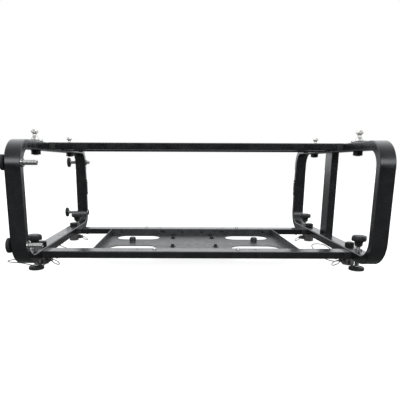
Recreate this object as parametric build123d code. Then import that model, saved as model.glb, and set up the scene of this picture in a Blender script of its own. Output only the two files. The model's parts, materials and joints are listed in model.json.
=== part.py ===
from build123d import *
import math
import os

# Open equipment frame: two side hoops of bent flat tube, four cross rails, a
# slotted base tray, stacking studs and cups with quick-release pins, and two
# sets of screw feet, one to stand it flat and one to stand it on its side.
# +Z is up, +Y runs from front to rear, +X to the right. Z = 0 is the floor.
# The whole model is built about the middle of the hoops and shifted once, at
# the end, so that its origin is at the bottom centre of its bounding box.

# --------------------------------------------------------------------------
# Driving dimensions, millimetres
# --------------------------------------------------------------------------
# Frame
FRAME_WIDTH = 1180.0  # over the outer sides of the hoops
FRAME_DEPTH = 930.0  # length of a hoop, front to rear
HOOP_HEIGHT = 400.0  # height of a hoop over its tube
FLOOR_GAP = 40.0  # floor to the underside of the hoops
TUBE_WIDTH = 50.0  # hoop tube, across the frame
TUBE_THICK = 30.0  # hoop tube, in the plane of the hoop
TUBE_WALL = 2.5
TUBE_EDGE = 4.0  # outer corner radius of the hoop tube
BEND_RADIUS = 85.0  # outer radius of the hoop's corners

# Cross rails
RAIL_DEPTH = 60.0
RAIL_HEIGHT = 25.0
RAIL_WALL = 2.0
RAIL_EDGE = 3.0
BOTTOM_FRONT_INSET = 178.0  # hoop front to the rail's centre line
BOTTOM_REAR_INSET = 245.0  # hoop rear to the rail's centre line
TOP_INSET = 330.0  # hoop end to the rail's centre line, both top rails

# Rail end brackets
BRACKET_LENGTH = 22.0  # part that shows between rail and hoop
TONGUE_LENGTH = 50.0  # part inside the rail
BRACKET_CHAMFER = 1.0
BRACKET_BOLT_NEAR = 3.0  # bolts' offsets from the rail's centre line
BRACKET_BOLT_FAR = 21.0
BRACKET_TAP_EXTRA = 5.0
CLAMP_BOLT_FROM_END = 25.0
CLAMP_BOLT_SPACING = 32.0

# Base tray
TRAY_WIDTH = 750.0
TRAY_SHEET = 3.0
TRAY_DROP = 7.0  # tray underside below the rails' underside
TRAY_FLANGE_TOP = 24.0  # flange top above the rails' underside
TRAY_BEND = 4.0
SLOT_INNER_X = 150.0
SLOT_LENGTH = 187.0
SLOT_WIDTH = 95.0
SLOT_CORNER = 42.0
FRONT_SLOT_INSET = 147.0  # slot centres, from the tray's front edge
REAR_SLOT_INSET = 64.0  # and from its rear edge
CABLE_SLOT_INSET = 135.0  # from the tray's front edge
CABLE_SLOT_LENGTH = 40.0
CABLE_SLOT_WIDTH = 8.0
ADAPTER_BOLT_X = 87.0  # adapter screws, either side of the middle
ADAPTER_FRONT_ROW_INSET = 175.0  # from the tray's front edge
ADAPTER_REAR_ROW_INSETS = (80.0, 18.0)  # from the tray's rear edge
TRAY_KNOB_X = 260.0
TRAY_KNOB_INSET = 280.0  # from the tray's front edge
TRAY_RAIL_BOLT_X = (330.0, 45.0)
OVAL_HOLE_X = 137.0
OVAL_HOLE_LENGTH = 24.0
OVAL_HOLE_WIDTH = 10.0

# Screws, nuts and holes
M8_RADIUS = 3.95
M8_CLEARANCE = 4.3
M6_RADIUS = 2.95
M6_CLEARANCE = 3.3
TAPPED_GAP = 0.05
SMALL_CHAMFER = 0.8
BUTTON_HEAD_RADIUS = 7.0
BUTTON_HEAD_HEIGHT = 4.5
SMALL_HEAD_RADIUS = 5.5
SMALL_HEAD_HEIGHT = 3.5
CLAMP_BOLT_LENGTH = 16.0
TRAY_BOLT_LENGTH = 14.0
CAP_HEAD_RADIUS = 6.5
CAP_HEAD_HEIGHT = 8.0
CAP_SOCKET_ACROSS_CORNERS = 6.9
CAP_SOCKET_DEPTH = 4.0
CAP_SCREW_PROUD = 2.0
WASHER_RADIUS = 12.5
WASHER_THICK = 2.0
NUT_ACROSS_CORNERS = 15.0
NUT_HEIGHT = 6.5

# Rail accessories
FRONT_DOME_X = 150.0
REAR_DOME_X = 214.0
FRONT_SPARE_X = 212.0
REAR_SPARE_X = 150.0
DOME_OFFSET_Y = 12.0  # towards the rear of the rail
DOME_RADIUS = 7.5
DOME_HEIGHT = 6.0
DOME_BOLT_LENGTH = 14.0
SPARE_HOLE_RADIUS = 4.25

# Side strut, right hoop only
STRUT_INSET = 7.0  # from the hoop's inner side
STRUT_THICK = 28.0
STRUT_DEPTH = 76.0
STRUT_WALL = 2.0
STRUT_BOLT_SPACING = 60.0
STRUT_PLUG_LENGTH = 20.0
STRUT_BOLT_SHORT = 4.0  # bolt tips short of the plugs' inner ends

# Stacking studs, cups and their nuts
STUD_INSET = 228.0  # hoop end to the stud's axis
STUD_FLANGE_RADIUS = 26.0
STUD_FLANGE_THICK = 6.0
STUD_NECK_RADIUS = 6.5
STUD_HEAD_RADIUS = 12.5
STUD_HEIGHT = 41.0
STUD_NECK_HEIGHT = 22.0
STUD_HEAD_WIDEST = 32.0
STEM_RADIUS = 10.0
STEM_CLEARANCE = 0.1
STEM_PROUD = 2.0
CORNER_NUT_ACROSS_CORNERS = 34.6
CORNER_NUT_HEIGHT = 15.0
NUT_CHAMFER = 1.0
CUP_RADIUS = 21.0
CUP_HEIGHT = 37.0
CUP_MOUTH_RADIUS = 14.0
CUP_MOUTH_DEPTH = 10.0
CUP_BORE_RADIUS = 13.2
CUP_BORE_DEPTH = 31.0
CUP_TIP_RADIUS = 7.0

# Quick-release pins
PIN_RADIUS = 4.0
PIN_RUNNING_GAP = 0.08
PIN_PROUD = 3.0  # pin tip beyond the cup's outer side
COLLAR_RADIUS = 9.0
COLLAR_LENGTH = 7.5
COLLAR_GAP = 0.5
EYE_RADIUS = 5.5
EYE_THICK = 5.0
EYE_REACH = 6.5  # collar face to the centre of the eye's hole
EYE_HOLE_RADIUS = 2.2
RING_RADIUS = 16.0
RING_WIRE_RADIUS = 1.5
RING_FLOOR_GAP = 0.2

# Screw feet
FOOT_INSET = 153.0  # hoop end to the foot's axis
FOOT_DISC_RADIUS = 26.0
FOOT_DISC_HEIGHT = 12.0
FOOT_LOWERS = 10.0  # how far the feet can be screwed down
SPINDLE_RADIUS = 8.0
SPINDLE_RUNNING_GAP = 0.08
JOURNAL_RADIUS = 5.0
JOURNAL_LENGTH = 6.0
JOURNAL_END_GAP = 0.5
SHOULDER_GAP = 0.3
BUSH_RADIUS = 11.0
BUSH_CLEARANCE = 0.05
BUSH_FLANGE_RADIUS = 13.5
BUSH_FLANGE_THICK = 5.0
KNOB_RADIUS = 26.0
KNOB_HEIGHT = 20.0
KNOB_LOBES = 6
KNOB_GROOVE_RADIUS = 9.0
KNOB_GROOVE_OUT = 5.0  # groove centres outside the knob's rim
KNOB_GAP = 1.0  # hub to bush when the foot is screwed right down
KNOB_HUB_RADIUS = 13.0
KNOB_HUB_HEIGHT = 18.0
KNOB_HUB_FLARE = 4.0
KNOB_CHAMFER = 2.0
KNOB_TOP_WALL = 6.0

# Side feet, left hoop only
SIDE_DISC_RADIUS = 24.0
SIDE_DISC_HEIGHT = 12.0
SIDE_TRAVEL = 50.0
SIDE_DISC_GAP = 0.5  # disc to hoop when screwed right in
SIDE_SPINDLE_PROUD = 47.5  # inside the hoop when screwed right in
SIDE_FOOT_LOW = 72.0  # axes from the hoop's underside, and from its top
REAR_HIGH_OUT = 28.0  # how far each rear foot stands unscrewed

# Tray thumb screws
THUMB_RADIUS = 14.0
THUMB_HEIGHT = 18.0
THUMB_FLUTES = 8
THUMB_FLUTE_RADIUS = 3.5
THUMB_FLUTE_OUT = 1.5  # flute centres outside the rim
THUMB_FLUTE_BASE = 4.0
THUMB_CHAMFER = 2.0
THUMB_SCREW_PROUD = 4.0
THUMB_WASHER_RADIUS = 11.0
THUMB_WASHER_THICK = 1.5
THUMB_GAP = 0.1
WELD_NUT_RADIUS = 9.0
WELD_NUT_HEIGHT = 7.0

# Post pads
PAD_THICK = 3.0
PAD_HEIGHT = 76.0
PAD_RAISED = 3.0  # above the middle of the hoop's height
PAD_CORNER = 3.0
PAD_BOLT_SPACING = 48.0
PAD_BOLT_TIP = 3.0

# Lanyards, 3 mm coated wire rope, and their anchors under the hoops
LANYARD_RADIUS = 1.5
ANCHOR_INSET = 385.0
ANCHOR_SIZE = 14.0
ANCHOR_HEIGHT = 8.0
ANCHOR_CORNER = 2.0
ANCHOR_SCREW_RADIUS = 2.0

# --------------------------------------------------------------------------
# Sizes that follow from the driving dimensions
# --------------------------------------------------------------------------
HOOP_X = (FRAME_WIDTH - TUBE_WIDTH) / 2
HOOP_INNER = FRAME_WIDTH / 2 - TUBE_WIDTH
HOOP_OUTER = FRAME_WIDTH / 2
HALF_DEPTH = FRAME_DEPTH / 2
HOOP_TOP = FLOOR_GAP + HOOP_HEIGHT
LOWER_TUBE_TOP = FLOOR_GAP + TUBE_THICK
UPPER_TUBE_BASE = HOOP_TOP - TUBE_THICK
POST_Y = HALF_DEPTH - TUBE_THICK / 2

BOTTOM_FRONT_Y = BOTTOM_FRONT_INSET - HALF_DEPTH
BOTTOM_REAR_Y = HALF_DEPTH - BOTTOM_REAR_INSET
TOP_FRONT_Y = TOP_INSET - HALF_DEPTH
TOP_REAR_Y = HALF_DEPTH - TOP_INSET
BOTTOM_RAIL_Z = FLOOR_GAP + RAIL_HEIGHT / 2
TOP_RAIL_Z = HOOP_TOP - RAIL_HEIGHT / 2
RAIL_LENGTH = 2 * (HOOP_INNER - BRACKET_LENGTH)

# name, centre Y, centre Z, and the way from that rail to the frame's middle
RAILS = (
    ("bottom_front_rail", BOTTOM_FRONT_Y, BOTTOM_RAIL_Z, 1),
    ("bottom_rear_rail", BOTTOM_REAR_Y, BOTTOM_RAIL_Z, -1),
    ("top_front_rail", TOP_FRONT_Y, TOP_RAIL_Z, 1),
    ("top_rear_rail", TOP_REAR_Y, TOP_RAIL_Z, -1),
)

TRAY_FRONT = BOTTOM_FRONT_Y + RAIL_DEPTH / 2
TRAY_REAR = BOTTOM_REAR_Y - RAIL_DEPTH / 2
TRAY_BASE = FLOOR_GAP - TRAY_DROP
TRAY_TOP = TRAY_BASE + TRAY_SHEET
TRAY_KNOB_Y = TRAY_FRONT + TRAY_KNOB_INSET
SLOT_ROWS = (TRAY_FRONT + FRONT_SLOT_INSET, TRAY_REAR - REAR_SLOT_INSET)
ADAPTER_ROWS = (
    TRAY_FRONT + ADAPTER_FRONT_ROW_INSET,
    TRAY_REAR - ADAPTER_REAR_ROW_INSETS[0],
    TRAY_REAR - ADAPTER_REAR_ROW_INSETS[1],
)

KNOB_BASE_Z = (
    LOWER_TUBE_TOP + BUSH_FLANGE_THICK + FOOT_LOWERS + KNOB_GAP + KNOB_HUB_HEIGHT
)
SIDE_SPINDLE_LENGTH = SIDE_DISC_GAP + TUBE_WIDTH + SIDE_SPINDLE_PROUD
SIDE_FOOT_HIGH = HOOP_HEIGHT - SIDE_FOOT_LOW
PAD_CENTRE = HOOP_HEIGHT / 2 + PAD_RAISED

STUD_Y = HALF_DEPTH - STUD_INSET
FOOT_Y = HALF_DEPTH - FOOT_INSET
ANCHOR_Y = ANCHOR_INSET - HALF_DEPTH
STRUT_X = HOOP_INNER + STRUT_INSET + STRUT_THICK / 2

CUP_RIM_Z = FLOOR_GAP - CUP_HEIGHT
PIN_Z = CUP_RIM_Z + STUD_NECK_HEIGHT - STUD_FLANGE_THICK
PIN_OFFSET_Y = STUD_NECK_RADIUS + PIN_RADIUS
EYE_X = HOOP_X - CUP_RADIUS - COLLAR_GAP - COLLAR_LENGTH - EYE_REACH
RING_DROP = PIN_Z - RING_WIRE_RADIUS - RING_FLOOR_GAP
RING_TILT = math.degrees(math.asin(RING_DROP / (2 * RING_RADIUS)))

# Bounding box in X: the rear lower side foot, unscrewed to its stop, on the
# left, and the heads of the bracket bolts on the right.
SIDE_REACH = SIDE_DISC_GAP + SIDE_TRAVEL + SIDE_DISC_HEIGHT
CENTRE_SHIFT = (SIDE_REACH - BUTTON_HEAD_HEIGHT) / 2

CORNERS = (
    ("front_left", -1, -1),
    ("front_right", 1, -1),
    ("rear_left", -1, 1),
    ("rear_right", 1, 1),
)

# name, Y side, height above the hoop's underside, how far out it is screwed
SIDE_FEET = (
    ("front_low", -1, SIDE_FOOT_LOW, 0.0),
    ("front_high", -1, SIDE_FOOT_HIGH, 0.0),
    ("rear_low", 1, SIDE_FOOT_LOW, SIDE_TRAVEL),
    ("rear_high", 1, SIDE_FOOT_HIGH, REAR_HIGH_OUT),
)


# --------------------------------------------------------------------------
# Basic solids
# --------------------------------------------------------------------------
# The turn that lays +Z along each direction.
TURNS = {
    "X": Rot(0, 90, 0),
    "-X": Rot(0, -90, 0),
    "Y": Rot(-90, 0, 0),
    "-Y": Rot(90, 0, 0),
    "Z": Rot(0, 0, 0),
    "-Z": Rot(180, 0, 0),
}


def rod(radius, length, at, direction="Z"):
    """A cylinder that starts at a point and runs along one direction."""
    low = (Align.CENTER, Align.CENTER, Align.MIN)
    return Pos(*at) * TURNS[direction] * Cylinder(radius, length, align=low)


def block(x0, x1, y0, y1, z0, z1):
    """A box between two corners."""
    size = (x1 - x0, y1 - y0, z1 - z0)
    return Pos((x0 + x1) / 2, (y0 + y1) / 2, (z0 + z1) / 2) * Box(*size)


def turned(profile):
    """A solid of revolution about Z from (radius, height) points."""
    outline = Polyline(*[(r, 0, z) for r, z in profile], close=True)
    return revolve(make_face(outline), Axis.Z)


def hexagon(across_corners, height, at):
    """A hexagonal prism that stands on a point."""
    face = RegularPolygon(across_corners / 2, 6)
    return Pos(*at) * extrude(face, height)


def stadium(length, width, height, at):
    """A round-ended prism along X, centred on a point."""
    return Pos(*at) * extrude(SlotOverall(length, width), height / 2, both=True)


def button_bolt(radius, head_radius, head_height, length, at, direction):
    """A dome-headed screw: the head is behind the point, the shank ahead."""
    profile = (
        (0, -head_height),
        (head_radius * 0.55, -head_height),
        (head_radius * 0.86, -head_height * 0.72),
        (head_radius, -head_height * 0.25),
        (head_radius, 0),
        (radius, 0),
        (radius, length),
        (0, length),
    )
    return Pos(*at) * TURNS[direction] * turned(profile)


def small_bolt(length, at, direction):
    """A 6 mm dome-headed screw."""
    head = (SMALL_HEAD_RADIUS, SMALL_HEAD_HEIGHT)
    return button_bolt(M6_RADIUS, *head, length, at, direction)


def large_bolt(length, at, direction):
    """An 8 mm dome-headed screw."""
    head = (BUTTON_HEAD_RADIUS, BUTTON_HEAD_HEIGHT)
    return button_bolt(M8_RADIUS, *head, length, at, direction)


def group(items):
    """Several separate solids of one node."""
    return Compound([solid for item in items for solid in item.solids()])


# --------------------------------------------------------------------------
# Side hoops
# --------------------------------------------------------------------------
def hoop_ring(width, depth, height, corner, thick):
    """A rounded rectangular ring in the YZ plane, centred on its axis."""
    outer = RectangleRounded(depth, height, corner)
    inner = RectangleRounded(depth - 2 * thick, height - 2 * thick, corner - thick)
    return extrude(Plane.YZ * (outer - inner), width / 2, both=True)


def hoop(side):
    """One side hoop: bent rectangular tube with every hole it needs."""
    ring = hoop_ring(TUBE_WIDTH, FRAME_DEPTH, HOOP_HEIGHT, BEND_RADIUS, TUBE_THICK)
    rims = ring.edges().group_by(Axis.X)
    ring = fillet(rims[0] + rims[-1], TUBE_EDGE)
    hollow = hoop_ring(
        TUBE_WIDTH - 2 * TUBE_WALL,
        FRAME_DEPTH - 2 * TUBE_WALL,
        HOOP_HEIGHT - 2 * TUBE_WALL,
        BEND_RADIUS - TUBE_WALL,
        TUBE_THICK - 2 * TUBE_WALL,
    )
    centre = Pos(side * HOOP_X, 0, FLOOR_GAP + HOOP_HEIGHT / 2)
    tube = centre * (ring - hollow)
    for hole in hoop_holes(side):
        tube = tube - hole
    return tube


def hoop_holes(side):
    """Every hole in one hoop, as rods that run right through its tube."""
    holes = []
    low = FLOOR_GAP - 1
    high = UPPER_TUBE_BASE - 1
    through = TUBE_THICK + 2
    for end in (-1, 1):
        foot_at = (side * HOOP_X, end * FOOT_Y, low)
        holes.append(rod(BUSH_RADIUS + BUSH_CLEARANCE, through, foot_at))
        for z in (low, high):
            at = (side * HOOP_X, end * STUD_Y, z)
            holes.append(rod(STEM_RADIUS + STEM_CLEARANCE, through, at))
            at = (side * STRUT_X, end * STRUT_BOLT_SPACING / 2, z)
            holes.append(rod(M8_CLEARANCE, through, at))
    for x, y, z in bracket_bolt_points(side):
        at = (side * (HOOP_INNER - 1), y, z)
        holes.append(rod(M8_CLEARANCE, TUBE_WIDTH + 2, at, "X" if side > 0 else "-X"))
    for z in pad_bolt_heights():
        at = (side * (HOOP_INNER - 1), POST_Y, z)
        way = "X" if side > 0 else "-X"
        holes.append(rod(M6_CLEARANCE, TUBE_WIDTH + 2, at, way))
    if side < 0:
        for _, end, height, _ in SIDE_FEET:
            at = (-HOOP_INNER + 1, end * POST_Y, FLOOR_GAP + height)
            radius = BUSH_RADIUS + BUSH_CLEARANCE
            holes.append(rod(radius, TUBE_WIDTH + 2, at, "-X"))
    anchor_at = (side * HOOP_X, ANCHOR_Y, FLOOR_GAP - 1)
    holes.append(rod(ANCHOR_SCREW_RADIUS + TAPPED_GAP, TUBE_WALL + 2, anchor_at))
    return holes


# --------------------------------------------------------------------------
# Cross rails and what holds them
# --------------------------------------------------------------------------
def rail(y, z):
    """One cross rail: rectangular tube, open at both ends."""
    outer = Pos(0, y, z) * Box(RAIL_LENGTH, RAIL_DEPTH, RAIL_HEIGHT)
    outer = fillet(outer.edges().filter_by(Axis.X), RAIL_EDGE)
    depth = RAIL_DEPTH - 2 * RAIL_WALL
    height = RAIL_HEIGHT - 2 * RAIL_WALL
    tube = outer - Pos(0, y, z) * Box(RAIL_LENGTH + 2, depth, height)
    for x, bolt_y, _ in clamp_bolt_points(y, z):
        at = (x, bolt_y, z - RAIL_HEIGHT / 2 - 1)
        tube = tube - rod(M6_CLEARANCE, RAIL_WALL + 2, at)
    return tube


def bottom_front_rail():
    """Lower front rail, with dome bolts, spare holes and tray bolts."""
    tube = rail(BOTTOM_FRONT_Y, BOTTOM_RAIL_Z)
    tube = tube - rail_top_holes(BOTTOM_FRONT_Y, FRONT_DOME_X, FRONT_SPARE_X)
    wall_y = TRAY_FRONT - RAIL_WALL - 1
    return tube - tray_bolt_holes(wall_y)


def bottom_rear_rail():
    """Lower rear rail, with dome bolts, spare holes and tray bolts."""
    tube = rail(BOTTOM_REAR_Y, BOTTOM_RAIL_Z)
    tube = tube - rail_top_holes(BOTTOM_REAR_Y, REAR_DOME_X, REAR_SPARE_X)
    wall_y = TRAY_REAR - 1
    return tube - tray_bolt_holes(wall_y)


def rail_top_holes(rail_y, dome_x, spare_x):
    """Screw holes in the top wall of a lower rail."""
    z = BOTTOM_RAIL_Z + RAIL_HEIGHT / 2 - RAIL_WALL - 1
    y = rail_y + DOME_OFFSET_Y
    holes = []
    for sign in (-1, 1):
        dome_at = (sign * dome_x, y, z)
        spare_at = (sign * spare_x, y, z)
        holes.append(rod(M6_RADIUS + TAPPED_GAP, RAIL_WALL + 2, dome_at))
        holes.append(rod(SPARE_HOLE_RADIUS, RAIL_WALL + 2, spare_at))
    return holes


def tray_bolt_holes(wall_y):
    """Tapped holes in a lower rail's wall for the tray's flange."""
    holes = []
    for x in signed(TRAY_RAIL_BOLT_X):
        at = (x, wall_y, BOTTOM_RAIL_Z)
        holes.append(rod(M6_RADIUS + TAPPED_GAP, RAIL_WALL + 2, at, "Y"))
    return holes


def signed(values):
    """Each value with both signs."""
    return [sign * value for value in values for sign in (-1, 1)]


def bracket_bolt_points(side):
    """Where the bolts that hold the rails cross one hoop's inner face."""
    points = []
    for _, y, z, inward in RAILS:
        for offset in (BRACKET_BOLT_NEAR, BRACKET_BOLT_FAR):
            points.append((side * HOOP_INNER, y + inward * offset, z))
    return points


def clamp_bolt_points(y, z):
    """Where the clamp bolts enter one rail's underside."""
    x = RAIL_LENGTH / 2 - CLAMP_BOLT_FROM_END
    half = CLAMP_BOLT_SPACING / 2
    under = z - RAIL_HEIGHT / 2
    return [(sx, y + sy, under) for sx in (-x, x) for sy in (-half, half)]


def rail_end_bracket(side, y, z, inward):
    """A block between rail and hoop, with a tongue that fills the rail's end."""
    inner = HOOP_INNER - BRACKET_LENGTH
    half = RAIL_DEPTH / 2
    tall = RAIL_HEIGHT / 2
    body = block(inner, HOOP_INNER, y - half, y + half, z - tall, z + tall)
    body = chamfer(body.edges().filter_by(Axis.X), BRACKET_CHAMFER)
    half = half - RAIL_WALL - TAPPED_GAP
    tall = tall - RAIL_WALL - TAPPED_GAP
    start = inner - TONGUE_LENGTH
    body = body + block(start, inner + 1, y - half, y + half, z - tall, z + tall)
    for offset in (BRACKET_BOLT_NEAR, BRACKET_BOLT_FAR):
        at = (HOOP_INNER + 1, y + inward * offset, z)
        depth = BRACKET_LENGTH + BRACKET_TAP_EXTRA
        body = body - rod(M8_RADIUS + TAPPED_GAP, depth, at, "-X")
    for x, bolt_y, under in clamp_bolt_points(y, z):
        if x > 0:
            at = (x, bolt_y, under)
            body = body - rod(M6_RADIUS + TAPPED_GAP, RAIL_HEIGHT, at)
    return body if side > 0 else mirror(body, Plane.YZ)


def rail_end_brackets():
    """All eight end brackets."""
    return group(
        rail_end_bracket(side, y, z, inward)
        for _, y, z, inward in RAILS
        for side in (-1, 1)
    )


def hoop_bolts():
    """Bolts from the hoops' outer sides into the rail end brackets."""
    length = TUBE_WIDTH + BRACKET_LENGTH
    bolts = []
    for side in (-1, 1):
        for _, y, z in bracket_bolt_points(side):
            at = (side * HOOP_OUTER, y, z)
            way = "-X" if side > 0 else "X"
            bolts.append(large_bolt(length, at, way))
    return group(bolts)


def rail_clamp_bolts():
    """Bolts up through each rail's lower wall into the brackets' tongues."""
    bolts = []
    for _, y, z, _ in RAILS:
        for at in clamp_bolt_points(y, z):
            bolts.append(small_bolt(CLAMP_BOLT_LENGTH, at, "Z"))
    return group(bolts)


def rail_dome_bolts():
    """Bright dome-headed bolts on top of the two lower rails."""
    top = BOTTOM_RAIL_Z + RAIL_HEIGHT / 2
    bolts = []
    for rail_y, dome_x in ((BOTTOM_FRONT_Y, FRONT_DOME_X), (BOTTOM_REAR_Y, REAR_DOME_X)):
        for sign in (-1, 1):
            at = (sign * dome_x, rail_y + DOME_OFFSET_Y, top)
            head = (DOME_RADIUS, DOME_HEIGHT)
            bolts.append(button_bolt(M6_RADIUS, *head, DOME_BOLT_LENGTH, at, "-Z"))
    return group(bolts)


# --------------------------------------------------------------------------
# Base tray and what is screwed to it
# --------------------------------------------------------------------------
def base_tray():
    """Folded sheet tray with four flanges, cable slots and screw holes."""
    half = TRAY_WIDTH / 2
    top = FLOOR_GAP + TRAY_FLANGE_TOP
    outer = block(-half, half, TRAY_FRONT, TRAY_REAR, TRAY_BASE, top)
    outer = fillet(outer.edges().group_by(Axis.Z)[0], TRAY_BEND)
    wall = TRAY_SHEET
    inner = block(
        -half + wall, half - wall, TRAY_FRONT + wall, TRAY_REAR - wall, TRAY_TOP, top + 1
    )
    inner = fillet(inner.edges().group_by(Axis.Z)[0], TRAY_BEND - TRAY_SHEET)
    tray = outer - inner
    for cut in tray_slots() + tray_holes():
        tray = tray - cut
    return tray


def tray_slots():
    """The four large rounded openings and the slit in the tray's floor."""
    cuts = []
    corner = min(SLOT_CORNER, SLOT_WIDTH / 2 - 1)
    window = extrude(RectangleRounded(SLOT_LENGTH, SLOT_WIDTH, corner), 20, both=True)
    x = SLOT_INNER_X + SLOT_LENGTH / 2
    for sign in (-1, 1):
        for slot_y in SLOT_ROWS:
            cuts.append(Pos(sign * x, slot_y, TRAY_BASE) * window)
    at = (0, TRAY_FRONT + CABLE_SLOT_INSET, TRAY_BASE)
    cuts.append(stadium(CABLE_SLOT_LENGTH, CABLE_SLOT_WIDTH, 20, at))
    return cuts


def tray_holes():
    """Screw holes in the tray's floor and flanges."""
    cuts = []
    low = TRAY_BASE - 1
    deep = TRAY_SHEET + 2
    for x, y in adapter_bolt_points():
        cuts.append(rod(M8_CLEARANCE, deep, (x, y, low)))
    for x in signed((TRAY_KNOB_X,)):
        cuts.append(rod(M8_CLEARANCE, deep, (x, TRAY_KNOB_Y, low)))
    for x in signed(TRAY_RAIL_BOLT_X):
        for y in (TRAY_FRONT - 1, TRAY_REAR - TRAY_SHEET - 1):
            cuts.append(rod(M6_CLEARANCE, deep, (x, y, BOTTOM_RAIL_Z), "Y"))
    for x in signed((OVAL_HOLE_X,)):
        oval = extrude(SlotOverall(OVAL_HOLE_LENGTH, OVAL_HOLE_WIDTH), deep / 2, both=True)
        at = Pos(x, TRAY_REAR - TRAY_SHEET / 2, BOTTOM_RAIL_Z)
        cuts.append(at * Rot(90, 0, 0) * oval)
    return cuts


def adapter_bolt_points():
    """Centres of the cap screws on the tray's floor."""
    return [(x, row) for x in (-ADAPTER_BOLT_X, ADAPTER_BOLT_X) for row in ADAPTER_ROWS]


def tray_rail_bolts():
    """Screws through the tray's flanges into the lower rails."""
    bolts = []
    for x in signed(TRAY_RAIL_BOLT_X):
        front = (x, TRAY_FRONT + TRAY_SHEET, BOTTOM_RAIL_Z)
        rear = (x, TRAY_REAR - TRAY_SHEET, BOTTOM_RAIL_Z)
        bolts.append(small_bolt(TRAY_BOLT_LENGTH, front, "-Y"))
        bolts.append(small_bolt(TRAY_BOLT_LENGTH, rear, "Y"))
    return group(bolts)


def tray_cap_screws():
    """Socket cap screws that clamp an equipment adapter to the tray."""
    screws = []
    seat = TRAY_TOP + WASHER_THICK
    shank = WASHER_THICK + TRAY_SHEET + NUT_HEIGHT + CAP_SCREW_PROUD
    for x, y in adapter_bolt_points():
        head = rod(CAP_HEAD_RADIUS, CAP_HEAD_HEIGHT, (x, y, seat))
        head = chamfer(head.edges().group_by(Axis.Z)[-1], SMALL_CHAMFER)
        socket_at = (x, y, seat + CAP_HEAD_HEIGHT - CAP_SOCKET_DEPTH)
        socket = hexagon(CAP_SOCKET_ACROSS_CORNERS, CAP_SOCKET_DEPTH + 1, socket_at)
        body = rod(M8_RADIUS, shank + 1, (x, y, seat - shank))
        screws.append(head - socket + body)
    return group(screws)


def tray_cap_washers():
    """Wide washers under the cap screws."""
    washers = []
    for x, y in adapter_bolt_points():
        disc = rod(WASHER_RADIUS, WASHER_THICK, (x, y, TRAY_TOP))
        hole = rod(M8_CLEARANCE, WASHER_THICK + 2, (x, y, TRAY_TOP - 1))
        washers.append(disc - hole)
    return group(washers)


def tray_cap_nuts():
    """Nuts under the tray for the cap screws."""
    nuts = []
    for x, y in adapter_bolt_points():
        low = TRAY_BASE - NUT_HEIGHT
        nut = hexagon(NUT_ACROSS_CORNERS, NUT_HEIGHT, (x, y, low))
        hole = rod(M8_RADIUS + TAPPED_GAP, NUT_HEIGHT + 2, (x, y, low - 1))
        nuts.append(nut - hole)
    return group(nuts)


def tray_knob(side):
    """Thumb screw with a fluted head."""
    x = side * TRAY_KNOB_X
    base = TRAY_TOP + THUMB_WASHER_THICK + 2 * THUMB_GAP
    head = rod(THUMB_RADIUS, THUMB_HEIGHT, (x, TRAY_KNOB_Y, base))
    head = chamfer(head.edges().group_by(Axis.Z)[-1], THUMB_CHAMFER)
    reach = THUMB_RADIUS + THUMB_FLUTE_OUT
    for step in range(THUMB_FLUTES):
        angle = 2 * math.pi * step / THUMB_FLUTES
        at = (
            x + reach * math.cos(angle),
            TRAY_KNOB_Y + reach * math.sin(angle),
            base + THUMB_FLUTE_BASE,
        )
        head = head - rod(THUMB_FLUTE_RADIUS, THUMB_HEIGHT, at)
    tip = TRAY_BASE - WELD_NUT_HEIGHT - THUMB_SCREW_PROUD
    screw = rod(M8_RADIUS, base + 1 - tip, (x, TRAY_KNOB_Y, tip))
    return head + screw


def tray_knob_washer(side):
    """Captive washer that rises and falls with its thumb screw."""
    at = (side * TRAY_KNOB_X, TRAY_KNOB_Y, TRAY_TOP + THUMB_GAP)
    disc = rod(THUMB_WASHER_RADIUS, THUMB_WASHER_THICK, at)
    return disc - rod(M8_RADIUS + PIN_RUNNING_GAP, THUMB_WASHER_THICK, at)


def tray_weld_nuts():
    """Round weld nuts under the tray for the thumb screws."""
    nuts = []
    for side in (-1, 1):
        at = (side * TRAY_KNOB_X, TRAY_KNOB_Y, TRAY_BASE - WELD_NUT_HEIGHT)
        nut = rod(WELD_NUT_RADIUS, WELD_NUT_HEIGHT, at)
        nuts.append(nut - rod(M8_RADIUS + PIN_RUNNING_GAP, WELD_NUT_HEIGHT, at))
    return group(nuts)


# --------------------------------------------------------------------------
# Side strut
# --------------------------------------------------------------------------
def side_strut():
    """Upright flat tube inside the right hoop's window."""
    tall = UPPER_TUBE_BASE - LOWER_TUBE_TOP
    centre = Pos(STRUT_X, 0, (UPPER_TUBE_BASE + LOWER_TUBE_TOP) / 2)
    outer = Box(STRUT_THICK, STRUT_DEPTH, tall)
    outer = fillet(outer.edges().filter_by(Axis.Z), RAIL_EDGE)
    wall = 2 * STRUT_WALL
    return centre * (outer - Box(STRUT_THICK - wall, STRUT_DEPTH - wall, tall + 2))


def strut_end_plugs():
    """Tapped blocks inside the strut's two ends."""
    plugs = []
    half_x = STRUT_THICK / 2 - STRUT_WALL - TAPPED_GAP
    half_y = STRUT_DEPTH / 2 - STRUT_WALL - TAPPED_GAP
    ends = (LOWER_TUBE_TOP, UPPER_TUBE_BASE - STRUT_PLUG_LENGTH)
    for z in ends:
        plug = block(
            STRUT_X - half_x, STRUT_X + half_x, -half_y, half_y, z, z + STRUT_PLUG_LENGTH
        )
        for y in (-STRUT_BOLT_SPACING / 2, STRUT_BOLT_SPACING / 2):
            hole_at = (STRUT_X, y, z - 1)
            radius = M8_RADIUS + TAPPED_GAP
            plug = plug - rod(radius, STRUT_PLUG_LENGTH + 2, hole_at)
        plugs.append(plug)
    return group(plugs)


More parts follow.
